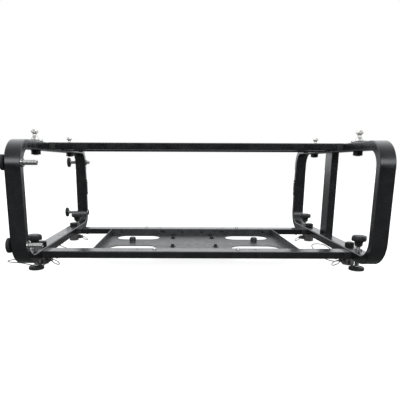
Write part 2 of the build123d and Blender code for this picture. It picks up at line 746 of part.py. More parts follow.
def strut_bolts():
    """Bolts through the right hoop's top and bottom tubes into the strut."""
    bolts = []
    length = TUBE_THICK + STRUT_PLUG_LENGTH - STRUT_BOLT_SHORT
    for y in (-STRUT_BOLT_SPACING / 2, STRUT_BOLT_SPACING / 2):
        for z, way in ((HOOP_TOP, "-Z"), (FLOOR_GAP, "Z")):
            at = (STRUT_X, y, z)
            bolts.append(large_bolt(length, at, way))
    return group(bolts)


# --------------------------------------------------------------------------
# Stacking studs, cups and pins
# --------------------------------------------------------------------------
def stacking_stud(side, end):
    """Turned stud: flange, cone, neck and head, on a threaded stem."""
    cone_radius = STUD_FLANGE_RADIUS * 0.6
    stem = TUBE_THICK + CORNER_NUT_HEIGHT + STEM_PROUD
    profile = (
        (0, -stem),
        (STEM_RADIUS, -stem),
        (STEM_RADIUS, 0),
        (STUD_FLANGE_RADIUS, 0),
        (STUD_FLANGE_RADIUS, STUD_FLANGE_THICK - 1),
        (STUD_FLANGE_RADIUS - 1, STUD_FLANGE_THICK),
        (cone_radius, STUD_FLANGE_THICK),
        (STUD_NECK_RADIUS, STUD_NECK_HEIGHT - 2),
        (STUD_NECK_RADIUS, STUD_NECK_HEIGHT + 3),
        (STUD_HEAD_RADIUS, STUD_HEAD_WIDEST - 1),
        (STUD_HEAD_RADIUS, STUD_HEAD_WIDEST + 1),
        (STUD_NECK_RADIUS, STUD_HEIGHT),
        (0, STUD_HEIGHT),
    )
    return Pos(side * HOOP_X, end * STUD_Y, HOOP_TOP) * turned(profile)


def stacking_studs():
    """All four studs on top of the hoops."""
    return group(stacking_stud(side, end) for _, side, end in CORNERS)


def corner_nuts():
    """Heavy nuts on the stems of the studs and of the cups."""
    nuts = []
    for _, side, end in CORNERS:
        for z in (UPPER_TUBE_BASE - CORNER_NUT_HEIGHT, LOWER_TUBE_TOP):
            at = (side * HOOP_X, end * STUD_Y, z)
            nut = hexagon(CORNER_NUT_ACROSS_CORNERS, CORNER_NUT_HEIGHT, at)
            nut = chamfer(nut.edges().group_by(Axis.Z)[0], NUT_CHAMFER)
            nut = chamfer(nut.edges().group_by(Axis.Z)[-1], NUT_CHAMFER)
            hole_at = (at[0], at[1], z - 1)
            radius = STEM_RADIUS + TAPPED_GAP
            nuts.append(nut - rod(radius, CORNER_NUT_HEIGHT + 2, hole_at))
    return group(nuts)


def receptacle(side, end):
    """Turned cup that drops over the stud of the frame below."""
    stem = TUBE_THICK + CORNER_NUT_HEIGHT + STEM_PROUD
    rim = -CUP_HEIGHT
    profile = (
        (0, stem),
        (STEM_RADIUS, stem),
        (STEM_RADIUS, 0),
        (CUP_RADIUS - 1, 0),
        (CUP_RADIUS, -1),
        (CUP_RADIUS, rim + 1),
        (CUP_RADIUS - 1, rim),
        (CUP_MOUTH_RADIUS, rim),
        (CUP_MOUTH_RADIUS, rim + CUP_MOUTH_DEPTH),
        (CUP_BORE_RADIUS, rim + CUP_MOUTH_DEPTH),
        (CUP_BORE_RADIUS, rim + CUP_BORE_DEPTH),
        (CUP_TIP_RADIUS, -0.5),
        (0, -0.5),
    )
    cup = Pos(side * HOOP_X, end * STUD_Y, FLOOR_GAP) * turned(profile)
    at = (side * (HOOP_X - CUP_RADIUS - 1), pin_y(end), PIN_Z)
    way = "X" if side > 0 else "-X"
    hole = rod(PIN_RADIUS + PIN_RUNNING_GAP, 2 * CUP_RADIUS + 2, at, way)
    return cup - hole


def receptacles():
    """All four cups under the hoops."""
    return group(receptacle(side, end) for _, side, end in CORNERS)


def pin_y(end):
    """Y of a quick-release pin, beside the neck of the stud it locks."""
    return end * (STUD_Y + PIN_OFFSET_Y)


def quick_release_pin(side, end):
    """Cross pin with a collar and a flat eye for the pull ring."""
    y = pin_y(end)
    tip = HOOP_X + CUP_RADIUS + PIN_PROUD
    collar_outer = HOOP_X - CUP_RADIUS - COLLAR_GAP
    collar_inner = collar_outer - COLLAR_LENGTH
    shank = rod(PIN_RADIUS, tip - collar_outer + 1, (collar_outer - 1, y, PIN_Z), "X")
    shank = chamfer(shank.edges().group_by(Axis.X)[-1], 1.0)
    collar = rod(COLLAR_RADIUS, COLLAR_LENGTH, (collar_inner, y, PIN_Z), "X")
    collar = chamfer(collar.edges().filter_by(GeomType.CIRCLE), SMALL_CHAMFER)
    half = EYE_THICK / 2
    tab = block(
        EYE_X, collar_inner + 1, y - half, y + half, PIN_Z - EYE_RADIUS, PIN_Z + EYE_RADIUS
    )
    eye = rod(EYE_RADIUS, EYE_THICK, (EYE_X, y - half, PIN_Z), "Y")
    hole = rod(EYE_HOLE_RADIUS, EYE_THICK + 2, (EYE_X, y - half - 1, PIN_Z), "Y")
    pin = shank + collar + tab + eye - hole
    return pin if side > 0 else mirror(pin, Plane.YZ)


def pin_ring(side, end):
    """Pull ring through the pin's eye, drooping to just above the floor."""
    ring = Torus(RING_RADIUS, RING_WIRE_RADIUS)
    hung = Pos(-RING_RADIUS, 0, 0) * ring
    placed = Pos(EYE_X, pin_y(end), PIN_Z) * Rot(0, -RING_TILT, 0) * hung
    return placed if side > 0 else mirror(placed, Plane.YZ)


# --------------------------------------------------------------------------
# Screw feet
# --------------------------------------------------------------------------
def threaded_bushes():
    """Flanged bushes in the hoops: four short for the feet, four long."""
    bushes = []
    for _, side, end in CORNERS:
        at = (side * HOOP_X, end * FOOT_Y, FLOOR_GAP)
        bushes.append(threaded_bush(TUBE_THICK, Pos(*at)))
    for _, end, height, _ in SIDE_FEET:
        at = (-HOOP_OUTER, end * POST_Y, FLOOR_GAP + height)
        bushes.append(threaded_bush(TUBE_WIDTH, Pos(*at) * Rot(0, 90, 0)))
    return group(bushes)


def threaded_bush(length, place):
    """A sleeve through the tube, with its flange on the far side."""
    bore = SPINDLE_RADIUS + SPINDLE_RUNNING_GAP
    profile = (
        (bore, 0),
        (BUSH_RADIUS, 0),
        (BUSH_RADIUS, length),
        (BUSH_FLANGE_RADIUS, length),
        (BUSH_FLANGE_RADIUS, length + BUSH_FLANGE_THICK),
        (bore, length + BUSH_FLANGE_THICK),
    )
    return place * turned(profile)


def disc_profile(radius, height):
    """Outline of a rubber foot with a blind bore for the spindle's end."""
    bore = JOURNAL_RADIUS + SPINDLE_RUNNING_GAP
    floor = height - JOURNAL_LENGTH - JOURNAL_END_GAP
    return (
        (0, 0),
        (radius - 2, 0),
        (radius, 2),
        (radius, height - 3),
        (radius - 3, height),
        (bore, height),
        (bore, floor),
        (0, floor),
    )


def foot_disc(side, end):
    """Rubber disc under one corner."""
    disc = turned(disc_profile(FOOT_DISC_RADIUS, FOOT_DISC_HEIGHT))
    return Pos(side * HOOP_X, end * FOOT_Y, 0) * disc


def foot_spindle(side, end):
    """Screw spindle from the rubber disc up into the star knob."""
    shoulder = FOOT_DISC_HEIGHT + SHOULDER_GAP
    top = KNOB_BASE_Z + KNOB_HEIGHT - KNOB_TOP_WALL
    profile = (
        (0, FOOT_DISC_HEIGHT - JOURNAL_LENGTH),
        (JOURNAL_RADIUS, FOOT_DISC_HEIGHT - JOURNAL_LENGTH),
        (JOURNAL_RADIUS, shoulder),
        (SPINDLE_RADIUS, shoulder),
        (SPINDLE_RADIUS, top),
        (0, top),
    )
    return Pos(side * HOOP_X, end * FOOT_Y, 0) * turned(profile)


def foot_knob(side, end):
    """Star knob: lobed head on a conical hub, blind bored for the spindle."""
    head = extrude(Circle(KNOB_RADIUS), KNOB_HEIGHT)
    for step in range(KNOB_LOBES):
        angle = 360 / KNOB_LOBES * (step + 0.5)
        round_cut = extrude(Circle(KNOB_GROOVE_RADIUS), KNOB_HEIGHT + 2)
        groove = Pos(KNOB_RADIUS + KNOB_GROOVE_OUT, 0, -1) * round_cut
        head = head - Rot(0, 0, angle) * groove
    head = chamfer(head.edges().group_by(Axis.Z)[-1], KNOB_CHAMFER)
    hub = turned(
        (
            (0, -KNOB_HUB_HEIGHT),
            (KNOB_HUB_RADIUS, -KNOB_HUB_HEIGHT),
            (KNOB_HUB_RADIUS + KNOB_HUB_FLARE, 1),
            (0, 1),
        )
    )
    bore_depth = KNOB_HUB_HEIGHT + KNOB_HEIGHT - KNOB_TOP_WALL
    bore = rod(SPINDLE_RADIUS + TAPPED_GAP, bore_depth, (0, 0, -KNOB_HUB_HEIGHT))
    return Pos(side * HOOP_X, end * FOOT_Y, KNOB_BASE_Z) * (head + hub - bore)


def side_foot_place(end, height, out):
    """The frame of one side foot: its own +Z points inwards, along +X."""
    face = -HOOP_OUTER - SIDE_DISC_GAP - SIDE_DISC_HEIGHT - out
    return Pos(face, end * POST_Y, FLOOR_GAP + height) * Rot(0, 90, 0)


def side_foot_disc(end, height, out):
    """Rubber disc of one side foot."""
    disc = turned(disc_profile(SIDE_DISC_RADIUS, SIDE_DISC_HEIGHT))
    return side_foot_place(end, height, out) * disc


def side_foot_spindle(end, height, out):
    """Screw spindle of one side foot, with a chamfered inner end."""
    shoulder = SIDE_DISC_HEIGHT + SHOULDER_GAP
    tip = SIDE_DISC_HEIGHT + SIDE_SPINDLE_LENGTH
    profile = (
        (0, SIDE_DISC_HEIGHT - JOURNAL_LENGTH),
        (JOURNAL_RADIUS, SIDE_DISC_HEIGHT - JOURNAL_LENGTH),
        (JOURNAL_RADIUS, shoulder),
        (SPINDLE_RADIUS, shoulder),
        (SPINDLE_RADIUS, tip - 1),
        (SPINDLE_RADIUS - 1, tip),
        (0, tip),
    )
    return side_foot_place(end, height, out) * turned(profile)


# --------------------------------------------------------------------------
# Post pads
# --------------------------------------------------------------------------
def pad_bolt_heights():
    """Heights of the bolts through the rear posts."""
    middle = FLOOR_GAP + PAD_CENTRE
    return (middle - PAD_BOLT_SPACING / 2, middle + PAD_BOLT_SPACING / 2)


def post_pads():
    """Rubber pads on the inner sides of the rear posts."""
    pads = []
    low = FLOOR_GAP + PAD_CENTRE - PAD_HEIGHT / 2
    front = POST_Y - TUBE_THICK / 2 + TUBE_EDGE
    rear = POST_Y + TUBE_THICK / 2 - TUBE_EDGE
    inner = HOOP_INNER - PAD_THICK
    pad = block(inner, HOOP_INNER, front, rear, low, low + PAD_HEIGHT)
    pad = fillet(pad.edges().filter_by(Axis.X), PAD_CORNER)
    for z in pad_bolt_heights():
        pad = pad - rod(M6_CLEARANCE, PAD_THICK + 2, (inner - 1, POST_Y, z), "X")
    pads.append(pad)
    pads.append(mirror(pad, Plane.YZ))
    return group(pads)


def pad_bolts():
    """Bolts through pads and posts, with their tips just proud outside."""
    bolts = []
    length = PAD_THICK + TUBE_WIDTH + PAD_BOLT_TIP
    for side in (-1, 1):
        for z in pad_bolt_heights():
            at = (side * (HOOP_INNER - PAD_THICK), POST_Y, z)
            way = "X" if side > 0 else "-X"
            bolts.append(small_bolt(length, at, way))
    return group(bolts)


# --------------------------------------------------------------------------
# Lanyards
# --------------------------------------------------------------------------
def lanyard_anchors():
    """Small screwed clips under the hoops, where the lanyards end."""
    anchors = []
    half = ANCHOR_SIZE / 2
    for side in (-1, 1):
        x = side * HOOP_X
        low = FLOOR_GAP - ANCHOR_HEIGHT
        clip = block(x - half, x + half, ANCHOR_Y - half, ANCHOR_Y + half, low, FLOOR_GAP)
        clip = fillet(clip.edges().filter_by(Axis.Z), ANCHOR_CORNER)
        screw = rod(ANCHOR_SCREW_RADIUS, TUBE_WALL + 2, (x, ANCHOR_Y, FLOOR_GAP - 1))
        anchors.append(clip + screw)
    return group(anchors)


# Routes of the lanyards about the middle of the hoops. The first point is
# beside the pin's collar and the last is on the rear face of the clip.
LANYARD_FRONT_RIGHT = (
    (540.0, -237.0, 19.0),
    (540.0, -222.0, 15.0),
    (537.0, -205.0, 6.0),
    (527.0, -187.0, 1.6),
    (515.0, -160.0, 1.6),
    (511.0, -112.0, 1.6),
    (515.0, -62.0, 1.6),
    (519.5, -12.0, 1.6),
    (527.0, 38.0, 1.6),
    (534.0, 84.0, 1.6),
    (545.0, 124.0, 1.6),
    (558.0, 152.0, 1.6),
    (579.0, 167.0, 1.6),
    (598.0, 158.0, 1.6),
    (606.0, 132.0, 1.6),
    (605.0, 92.0, 1.6),
    (603.0, 44.0, 1.6),
    (597.0, 0.0, 3.0),
    (584.0, -32.0, 14.0),
    (569.0, -49.0, 30.0),
    (565.0, -60.0, 36.0),
    (565.0, -73.0, 36.0),
)
LANYARD_FRONT_LEFT = (
    (-540.0, -257.5, 19.0),
    (-540.5, -267.0, 15.0),
    (-547.0, -273.0, 7.0),
    (-562.0, -275.0, 1.6),
    (-588.0, -270.0, 1.6),
    (-618.0, -250.0, 1.6),
    (-648.0, -231.0, 1.6),
    (-682.0, -222.0, 1.6),
    (-708.0, -212.0, 1.6),
    (-712.0, -190.0, 1.6),
    (-692.0, -172.0, 1.6),
    (-652.0, -163.0, 1.6),
    (-606.0, -158.0, 1.6),
    (-560.0, -148.0, 1.6),
    (-520.0, -122.0, 1.6),
    (-496.0, -80.0, 1.6),
    (-494.0, -36.0, 1.6),
    (-512.0, -8.0, 3.0),
    (-540.0, -4.0, 12.0),
    (-558.0, -24.0, 26.0),
    (-565.0, -48.0, 36.0),
    (-565.0, -73.0, 36.0),
)


def corner_radii(points):
    """The largest arc at each inner point that its two runs leave room for."""
    vectors = [Vector(*p) for p in points]
    radii = []
    for before, here, after in zip(vectors, vectors[1:], vectors[2:]):
        arrive = here - before
        leave = after - here
        half_turn = math.radians(arrive.get_angle(leave)) / 2
        run = min(arrive.length, leave.length)
        radii.append(0.45 * run / math.tan(half_turn))
    return radii


def lanyard(points):
    """A round cord of straight runs joined by tangent arcs."""
    radii = corner_radii(points)
    path = FilletPolyline(*points, radius=radii)
    start = Plane(origin=points[0], z_dir=Vector(*points[1]) - Vector(*points[0]))
    cord = sweep(start * Circle(LANYARD_RADIUS), path)
    expected = math.pi * LANYARD_RADIUS**2 * path.length
    print(f"lanyard length {path.length:.1f} mm, smallest radius {min(radii):.1f} mm")
    print(f"lanyard volume {cord.volume:.1f} mm3, section x length {expected:.1f} mm3")
    return cord


# --------------------------------------------------------------------------
# Nodes
# --------------------------------------------------------------------------
def nodes():
    """Every node's name and shape, built about the middle of the hoops."""
    yield "left_hoop", hoop(-1)
    yield "right_hoop", hoop(1)
    yield "bottom_front_rail", bottom_front_rail()
    yield "bottom_rear_rail", bottom_rear_rail()
    yield "top_front_rail", rail(TOP_FRONT_Y, TOP_RAIL_Z)
    yield "top_rear_rail", rail(TOP_REAR_Y, TOP_RAIL_Z)
    yield "rail_end_brackets", rail_end_brackets()
    yield "hoop_bolts", hoop_bolts()
    yield "rail_clamp_bolts", rail_clamp_bolts()
    yield "rail_dome_bolts", rail_dome_bolts()
    yield "base_tray", base_tray()
    yield "tray_rail_bolts", tray_rail_bolts()
    yield "tray_cap_screws", tray_cap_screws()
    yield "tray_cap_washers", tray_cap_washers()
    yield "tray_cap_nuts", tray_cap_nuts()
    yield "tray_weld_nuts", tray_weld_nuts()
    for name, side in (("left", -1), ("right", 1)):
        yield f"tray_knob_{name}", tray_knob(side)
        yield f"tray_knob_washer_{name}", tray_knob_washer(side)
    yield "side_strut", side_strut()
    yield "strut_end_plugs", strut_end_plugs()
    yield "strut_bolts", strut_bolts()
    yield "stacking_studs", stacking_studs()
    yield "corner_nuts", corner_nuts()
    yield "receptacles", receptacles()
    yield "threaded_bushes", threaded_bushes()
    for name, side, end in CORNERS:
        yield f"foot_disc_{name}", foot_disc(side, end)
        yield f"foot_spindle_{name}", foot_spindle(side, end)
        yield f"foot_knob_{name}", foot_knob(side, end)
        yield f"pin_{name}", quick_release_pin(side, end)
        yield f"pin_ring_{name}", pin_ring(side, end)
    for name, end, height, out in SIDE_FEET:
        yield f"side_foot_disc_{name}", side_foot_disc(end, height, out)
        yield f"side_foot_spindle_{name}", side_foot_spindle(end, height, out)
    yield "post_pads", post_pads()
    yield "pad_bolts", pad_bolts()
    yield "lanyard_anchors", lanyard_anchors()
    yield "lanyard_front_right", lanyard(LANYARD_FRONT_RIGHT)
    yield "lanyard_front_left", lanyard(LANYARD_FRONT_LEFT)


os.makedirs("parts", exist_ok=True)
for node_name, shape in nodes():
    export_step(Pos(CENTRE_SHIFT, 0, 0) * shape, f"parts/{node_name}.step")
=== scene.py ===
"""Looks for an open equipment stacking frame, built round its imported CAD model.

Every size is in metres, in the frame of the CAD model: +X to the right, +Y from
front to rear, +Z up, and the floor at Z = 0.
"""

import json
import logging
import math
from collections.abc import Callable, Iterable
from dataclasses import dataclass, field
from enum import Enum

import bpy
from mathutils import Matrix, Vector


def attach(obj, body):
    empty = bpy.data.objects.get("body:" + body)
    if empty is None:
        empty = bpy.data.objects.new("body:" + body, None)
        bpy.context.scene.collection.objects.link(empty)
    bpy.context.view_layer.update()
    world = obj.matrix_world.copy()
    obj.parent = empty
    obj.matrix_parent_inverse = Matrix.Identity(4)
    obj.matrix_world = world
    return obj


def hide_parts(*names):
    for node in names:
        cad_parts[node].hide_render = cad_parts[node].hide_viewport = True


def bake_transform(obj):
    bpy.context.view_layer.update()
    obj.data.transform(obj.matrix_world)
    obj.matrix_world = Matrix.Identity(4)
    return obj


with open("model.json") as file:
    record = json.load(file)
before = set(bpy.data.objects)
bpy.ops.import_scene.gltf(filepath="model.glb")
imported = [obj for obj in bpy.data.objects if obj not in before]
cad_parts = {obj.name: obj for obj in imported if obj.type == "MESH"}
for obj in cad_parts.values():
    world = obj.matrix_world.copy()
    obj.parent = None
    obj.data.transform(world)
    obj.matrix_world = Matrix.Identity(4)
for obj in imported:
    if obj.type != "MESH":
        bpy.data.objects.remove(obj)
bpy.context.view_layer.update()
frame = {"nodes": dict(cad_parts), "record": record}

MM = 0.001
TURN = 2 * math.pi
HOOP_MIDDLE = 0.029  # X of the middle of the two hoops
LOG = logging.getLogger("stacking_frame")

Outline = Callable[[float], float]  # a radius for each angle
Radius = float | Outline
Rings = list[tuple[Radius, float]]  # radius and height of each ring
Colour = tuple[float, float, float]
Point = tuple[float, float, float]
Piece = bpy.types.Object
Socket = bpy.types.NodeSocket


class Corner(Enum):
    """A corner of the frame: its name, its side in X and its end in Y."""

    FRONT_LEFT = ("front_left", -1, -1)
    FRONT_RIGHT = ("front_right", 1, -1)
    REAR_LEFT = ("rear_left", -1, 1)
    REAR_RIGHT = ("rear_right", 1, 1)

    @property
    def label(self) -> str:
        """The name used in the nodes and bodies."""
        return self.value[0]

    @property
    def side(self) -> int:
        """-1 on the left hoop and 1 on the right one."""
        return self.value[1]

    @property
    def end(self) -> int:
        """-1 at the front and 1 at the rear."""
        return self.value[2]


class Slot(Enum):
    """The record's material slots."""

    FRAME = "frame_powder_coat"
    BRACKET = "bracket_black"
    TRAY = "tray_powder_coat"
    OXIDE = "black_oxide_steel"
    POLISHED = "polished_steel"
    ZINC = "zinc_plated_steel"
    SPINDLE = "spindle_steel"
    RUBBER = "foot_rubber"
    KNOB = "knob_plastic"
    PIN = "pin_steel"
    WIRE = "wire_sheath"


# --- Shader nodes ---
class Tree:
    """A node tree with short ways to add nodes and to join them."""

    def __init__(self, tree: bpy.types.NodeTree) -> None:
        """Keeps the tree and empties it.

        Args:
            tree: the node tree of a material, a world or a group.
        """
        self.tree = tree
        tree.nodes.clear()

    def add(
        self, kind: str, settings: dict[str, object] | None = None, **inputs: object
    ) -> bpy.types.Node:
        """Adds one node.

        Args:
            kind: the node's type name, without "ShaderNode" for a shader node.
            settings: values of the node's own properties.
            inputs: values or sockets for its inputs; "_" stands for a space,
                and "i0" is the input with index 0.

        Returns:
            The new node.
        """
        full = kind if kind.startswith(("Node", "Shader")) else "ShaderNode" + kind
        node = self.tree.nodes.new(full)
        for key, value in (settings or {}).items():
            setattr(node, key, value)
        for key, value in inputs.items():
            index = key[1:]
            name = int(index) if index.isdigit() else key.replace("_", " ")
            if isinstance(value, Socket):
                self.link(value, node.inputs[name])
            else:
                node.inputs[name].default_value = value
        return node

    def link(self, source: Socket, target: Socket) -> None:
        """Joins an output to an input."""
        self.tree.links.new(source, target)

    def math(
        self, operation: str, a: float | Socket, b: float | Socket = 0.0, clamp: bool = False
    ) -> Socket:
        """One Math node's result.

        Args:
            operation: the Math node's operation.
            a: its first input, a number or a socket.
            b: its second input.
            clamp: whether the result is kept from 0 to 1.

        Returns:
            The result's socket.
        """
        settings = {"operation": operation, "use_clamp": clamp}
        return self.add("Math", settings, i0=a, i1=b).outputs[0]

    def object_place(self) -> Socket:
        """The shaded point in its object's own frame."""
        return self.add("TexCoord").outputs["Object"]

    def noise(self, place: Socket, scale: float | Socket, detail: float) -> Socket:
        """A noise texture's value."""
        return self.add("TexNoise", None, Vector=place, Scale=scale, Detail=detail).outputs[0]

    def spread(
        self, value: Socket, low: float, high: float, to_low: float, to_high: float
    ) -> Socket:
        """A value carried over from one span to another, clamped to its ends.

        Args:
            value: the socket to carry over.
            low: the start of its span.
            high: the end of its span.
            to_low: the result at the start.
            to_high: the result at the end.

        Returns:
            The result's socket.
        """
        ends = {"From_Min": low, "From_Max": high, "To_Min": to_low, "To_Max": to_high}
        return self.add("MapRange", None, Value=value, **ends).outputs[0]

    def mix(self, factor: Socket, a: Colour | Socket, b: Colour | Socket) -> Socket:
        """A mix of two colours.

        Args:
            factor: how much of the second colour shows.
            a: the first colour or socket.
            b: the second colour or socket.

        Returns:
            The mixed colour's socket.
        """
        values = [c if isinstance(c, Socket) else (*c, 1.0) for c in (a, b)]
        node = self.add("Mix", {"data_type": "RGBA"}, i0=factor, i6=values[0], i7=values[1])
        return node.outputs[2]


class Effect(Enum):
    """The shader groups that several finishes share."""

    GRAIN = "fine_grain"
    WEAR = "edge_wear"
    DUST = "settled_dust"
    LINES = "turned_lines"


Group = tuple[bpy.types.NodeTree, Tree, bpy.types.bpy_prop_collection, bpy.types.Node]


class EffectLibrary:
    """Builds each shared shader group once and hands it out."""

    def __init__(self) -> None:
        """Builds every group."""
        self.groups = {
            Effect.GRAIN: self.grain(),
            Effect.WEAR: self.wear(),
            Effect.DUST: self.dust(),
            Effect.LINES: self.lines(),
        }

    def place(self, effect: Effect, tree: Tree, **inputs: float) -> bpy.types.Node:
        """Adds one group to a material's tree."""
        return tree.add("Group", {"node_tree": self.groups[effect]}, **inputs)

    @staticmethod
    def begin(effect: Effect, inputs: dict[str, float], outputs: Iterable[str]) -> Group:
        """Starts a group with named inputs and outputs.

        Args:
            effect: which group it is.
            inputs: names and default values of its number inputs.
            outputs: names of its number outputs.

        Returns:
            The group, its Tree, the input node's outputs and the output node.
        """
        group = bpy.data.node_groups.new(effect.value, "ShaderNodeTree")
        kind = "NodeSocketFloat"
        for name, value in inputs.items():
            socket = group.interface.new_socket(name, in_out="INPUT", socket_type=kind)
            socket.default_value = value
        for name in outputs:
            group.interface.new_socket(name, in_out="OUTPUT", socket_type=kind)
        tree = Tree(group)
        given = tree.add("NodeGroupInput").outputs
        result = tree.add("NodeGroupOutput")
        return group, tree, given, result

    def grain(self) -> bpy.types.NodeTree:
        """Fine surface relief and a soft large mottle.

        Returns:
            The group.
        """
        outputs = ("Height", "Mottle")
        group, tree, given, result = self.begin(Effect.GRAIN, {"Scale": 900.0}, outputs)
        place = tree.object_place()
        fine = tree.noise(place, given[0], 3.0)
        coarse_scale = tree.math("MULTIPLY", given[0], 0.03)
        look = {"Scale": coarse_scale, "Detail": 5.0, "Roughness": 0.65}
        coarse = tree.add("TexNoise", None, Vector=place, **look)
        tree.link(fine, result.inputs["Height"])
        mottle = tree.spread(coarse.outputs[0], 0.35, 0.65, 0.0, 1.0)
        tree.link(mottle, result.inputs["Mottle"])
        return group

    def wear(self) -> bpy.types.NodeTree:
        """A broken mask along sharp edges.

        Returns:
            The group.
        """
        inputs = {"Radius": 0.0012, "Amount": 1.0}
        group, tree, given, result = self.begin(Effect.WEAR, inputs, ("Mask",))
        rounded = tree.add("Bevel", {"samples": 4}, Radius=given[0]).outputs[0]
        flat = tree.add("NewGeometry").outputs["Normal"]
        dot = tree.add("VectorMath", {"operation": "DOT_PRODUCT"}, i0=rounded, i1=flat)
        edge = tree.math("SUBTRACT", 1.0, dot.outputs["Value"], clamp=True)
        place = tree.object_place()
        patch = tree.noise(place, 95.0, 6.0)
        broken = tree.spread(patch, 0.46, 0.62, 0.0, 1.0)
        strong = tree.math("MULTIPLY", tree.spread(edge, 0.04, 0.25, 0.0, 1.0), broken)
        mask = tree.math("MULTIPLY", strong, given[1], clamp=True)
        tree.link(mask, result.inputs["Mask"])
        return group

    def dust(self) -> bpy.types.NodeTree:
        """A thin uneven film on faces that look up.

        Returns:
            The group.
        """
        group, tree, given, result = self.begin(Effect.DUST, {"Amount": 1.0}, ("Mask",))
        normal = tree.add("NewGeometry").outputs["Normal"]
        up = tree.add("SeparateXYZ", None, i0=normal).outputs[2]
        facing = tree.spread(up, 0.55, 1.0, 0.0, 1.0)
        place = tree.object_place()
        cloud = tree.noise(place, 24.0, 8.0)
        speck = tree.noise(place, 1400.0, 2.0)
        cover = tree.spread(cloud, 0.38, 0.7, 0.15, 1.0)
        fine = tree.spread(speck, 0.4, 0.7, 0.3, 1.0)
        film = tree.math("MULTIPLY", tree.math("MULTIPLY", cover, fine), facing)
        mask = tree.math("MULTIPLY", film, given[0], clamp=True)
        tree.link(mask, result.inputs["Mask"])
        return group

    def lines(self) -> bpy.types.NodeTree:
        """Fine lathe lines along one axis.

        Returns:
            The group.
        """
        inputs = {"Along X": 0.0, "Along Z": 1.0, "Per Metre": 2200.0}
        group, tree, given, result = self.begin(Effect.LINES, inputs, ("Height",))
        place = tree.object_place()
        parts = tree.add("SeparateXYZ", None, i0=place).outputs
        x = tree.math("MULTIPLY", parts[0], given[0])
        z = tree.math("MULTIPLY", parts[2], given[1])
        along = tree.math("MULTIPLY", tree.math("ADD", x, z), given[2])
        band = tree.add("CombineXYZ", None, i0=along)
        tree.link(tree.noise(band.outputs[0], 1.0, 2.0), result.inputs["Height"])
        return group


def begin_material(name: str) -> tuple[bpy.types.Material, Tree]:
    """A new material and its empty tree.

    Args:
        name: the material's name.

    Returns:
        The material and its tree.
    """
    material = bpy.data.materials.new(name)
    material.use_nodes = True
    return material, Tree(material.node_tree)


def close_material(tree: Tree, **inputs: object) -> None:
    """Ends a material's tree with a Principled shader."""
    shader = tree.add("BsdfPrincipled", None, **inputs)
    tree.add("OutputMaterial", None, Surface=shader.outputs[0])


def bumped(tree: Tree, strength: float, distance: float, height: Socket) -> Socket:
    """A normal bumped by a height."""
    bump = tree.add("Bump", None, Strength=strength, Distance=distance, Height=height)
    return bump.outputs[0]


@dataclass(frozen=True)
class CoatFinish:
    """A coating, rubber or plastic: mottled, grained, dusty and worn at edges."""

    name: str
    colour: Colour
    second: Colour
    roughness: float
    rough_spread: float = 0.08
    grain_scale: float = 900.0
    grain_depth: float = 0.00006
    grain_strength: float = 0.35
    dust: float = 0.12
    dust_colour: Colour = (0.32, 0.32, 0.31)
    wear: float = 0.35
    wear_colour: Colour = (0.16, 0.16, 0.165)
    specular: float = 0.5

    def build(self, effects: EffectLibrary) -> bpy.types.Material:
        """Makes the material.

        Args:
            effects: the shared shader groups.

        Returns:
            The material.
        """
        material, tree = begin_material(self.name)
        grain = effects.place(Effect.GRAIN, tree, Scale=self.grain_scale)
        dust = effects.place(Effect.DUST, tree, Amount=self.dust)
        wear = effects.place(Effect.WEAR, tree, Amount=self.wear)
        mottle = grain.outputs["Mottle"]
        base = tree.mix(mottle, self.colour, self.second)
        base = tree.mix(wear.outputs["Mask"], base, self.wear_colour)
        base = tree.mix(dust.outputs["Mask"], base, self.dust_colour)
        low = self.roughness - self.rough_spread
        high = self.roughness + self.rough_spread
        rough = tree.spread(mottle, 0.0, 1.0, low, high)
        rough = tree.math("ADD", rough, dust.outputs["Mask"], clamp=True)
        height = grain.outputs["Height"]
        normal = bumped(tree, self.grain_strength, self.grain_depth, height)
        specular = {"Specular_IOR_Level": self.specular}
        close_material(tree, Base_Color=base, Roughness=rough, Normal=normal, **specular)
        return material


@dataclass(frozen=True)
class MetalFinish:
    """A bright metal: turned lines, a soft tarnish and faint handling marks."""

    name: str
    colour: Colour
    tarnish: Colour
    roughness: float
    rough_spread: float = 0.06
    along_x: float = 0.0
    along_z: float = 1.0
    per_metre: float = 2600.0
    line_depth: float = 0.00004
    line_strength: float = 0.3
    marks: float = 0.35
    mottle_scale: float = 2400.0
    edge_tint: Colour = (0.3, 0.3, 0.3)

    def build(self, effects: EffectLibrary) -> bpy.types.Material:
        """Makes the material.

        Args:
            effects: the shared shader groups.

        Returns:
            The material.
        """
        material, tree = begin_material(self.name)
        grain = effects.place(Effect.GRAIN, tree, Scale=self.mottle_scale)
        ways = {"Along_X": self.along_x, "Along_Z": self.along_z}
        lines = effects.place(Effect.LINES, tree, Per_Metre=self.per_metre, **ways)
        mottle = grain.outputs["Mottle"]
        base = tree.mix(tree.math("MULTIPLY", mottle, self.marks), self.colour, self.tarnish)
        low = self.roughness - self.rough_spread
        high = self.roughness + self.rough_spread
        rough = tree.spread(mottle, 0.0, 1.0, low, high)
        height = lines.outputs["Height"]
        normal = bumped(tree, self.line_strength, self.line_depth, height)
        metal = {"Metallic": 1.0, "Specular_Tint": (*self.edge_tint, 1.0)}
        close_material(tree, Base_Color=base, Roughness=rough, Normal=normal, **metal)
        return material


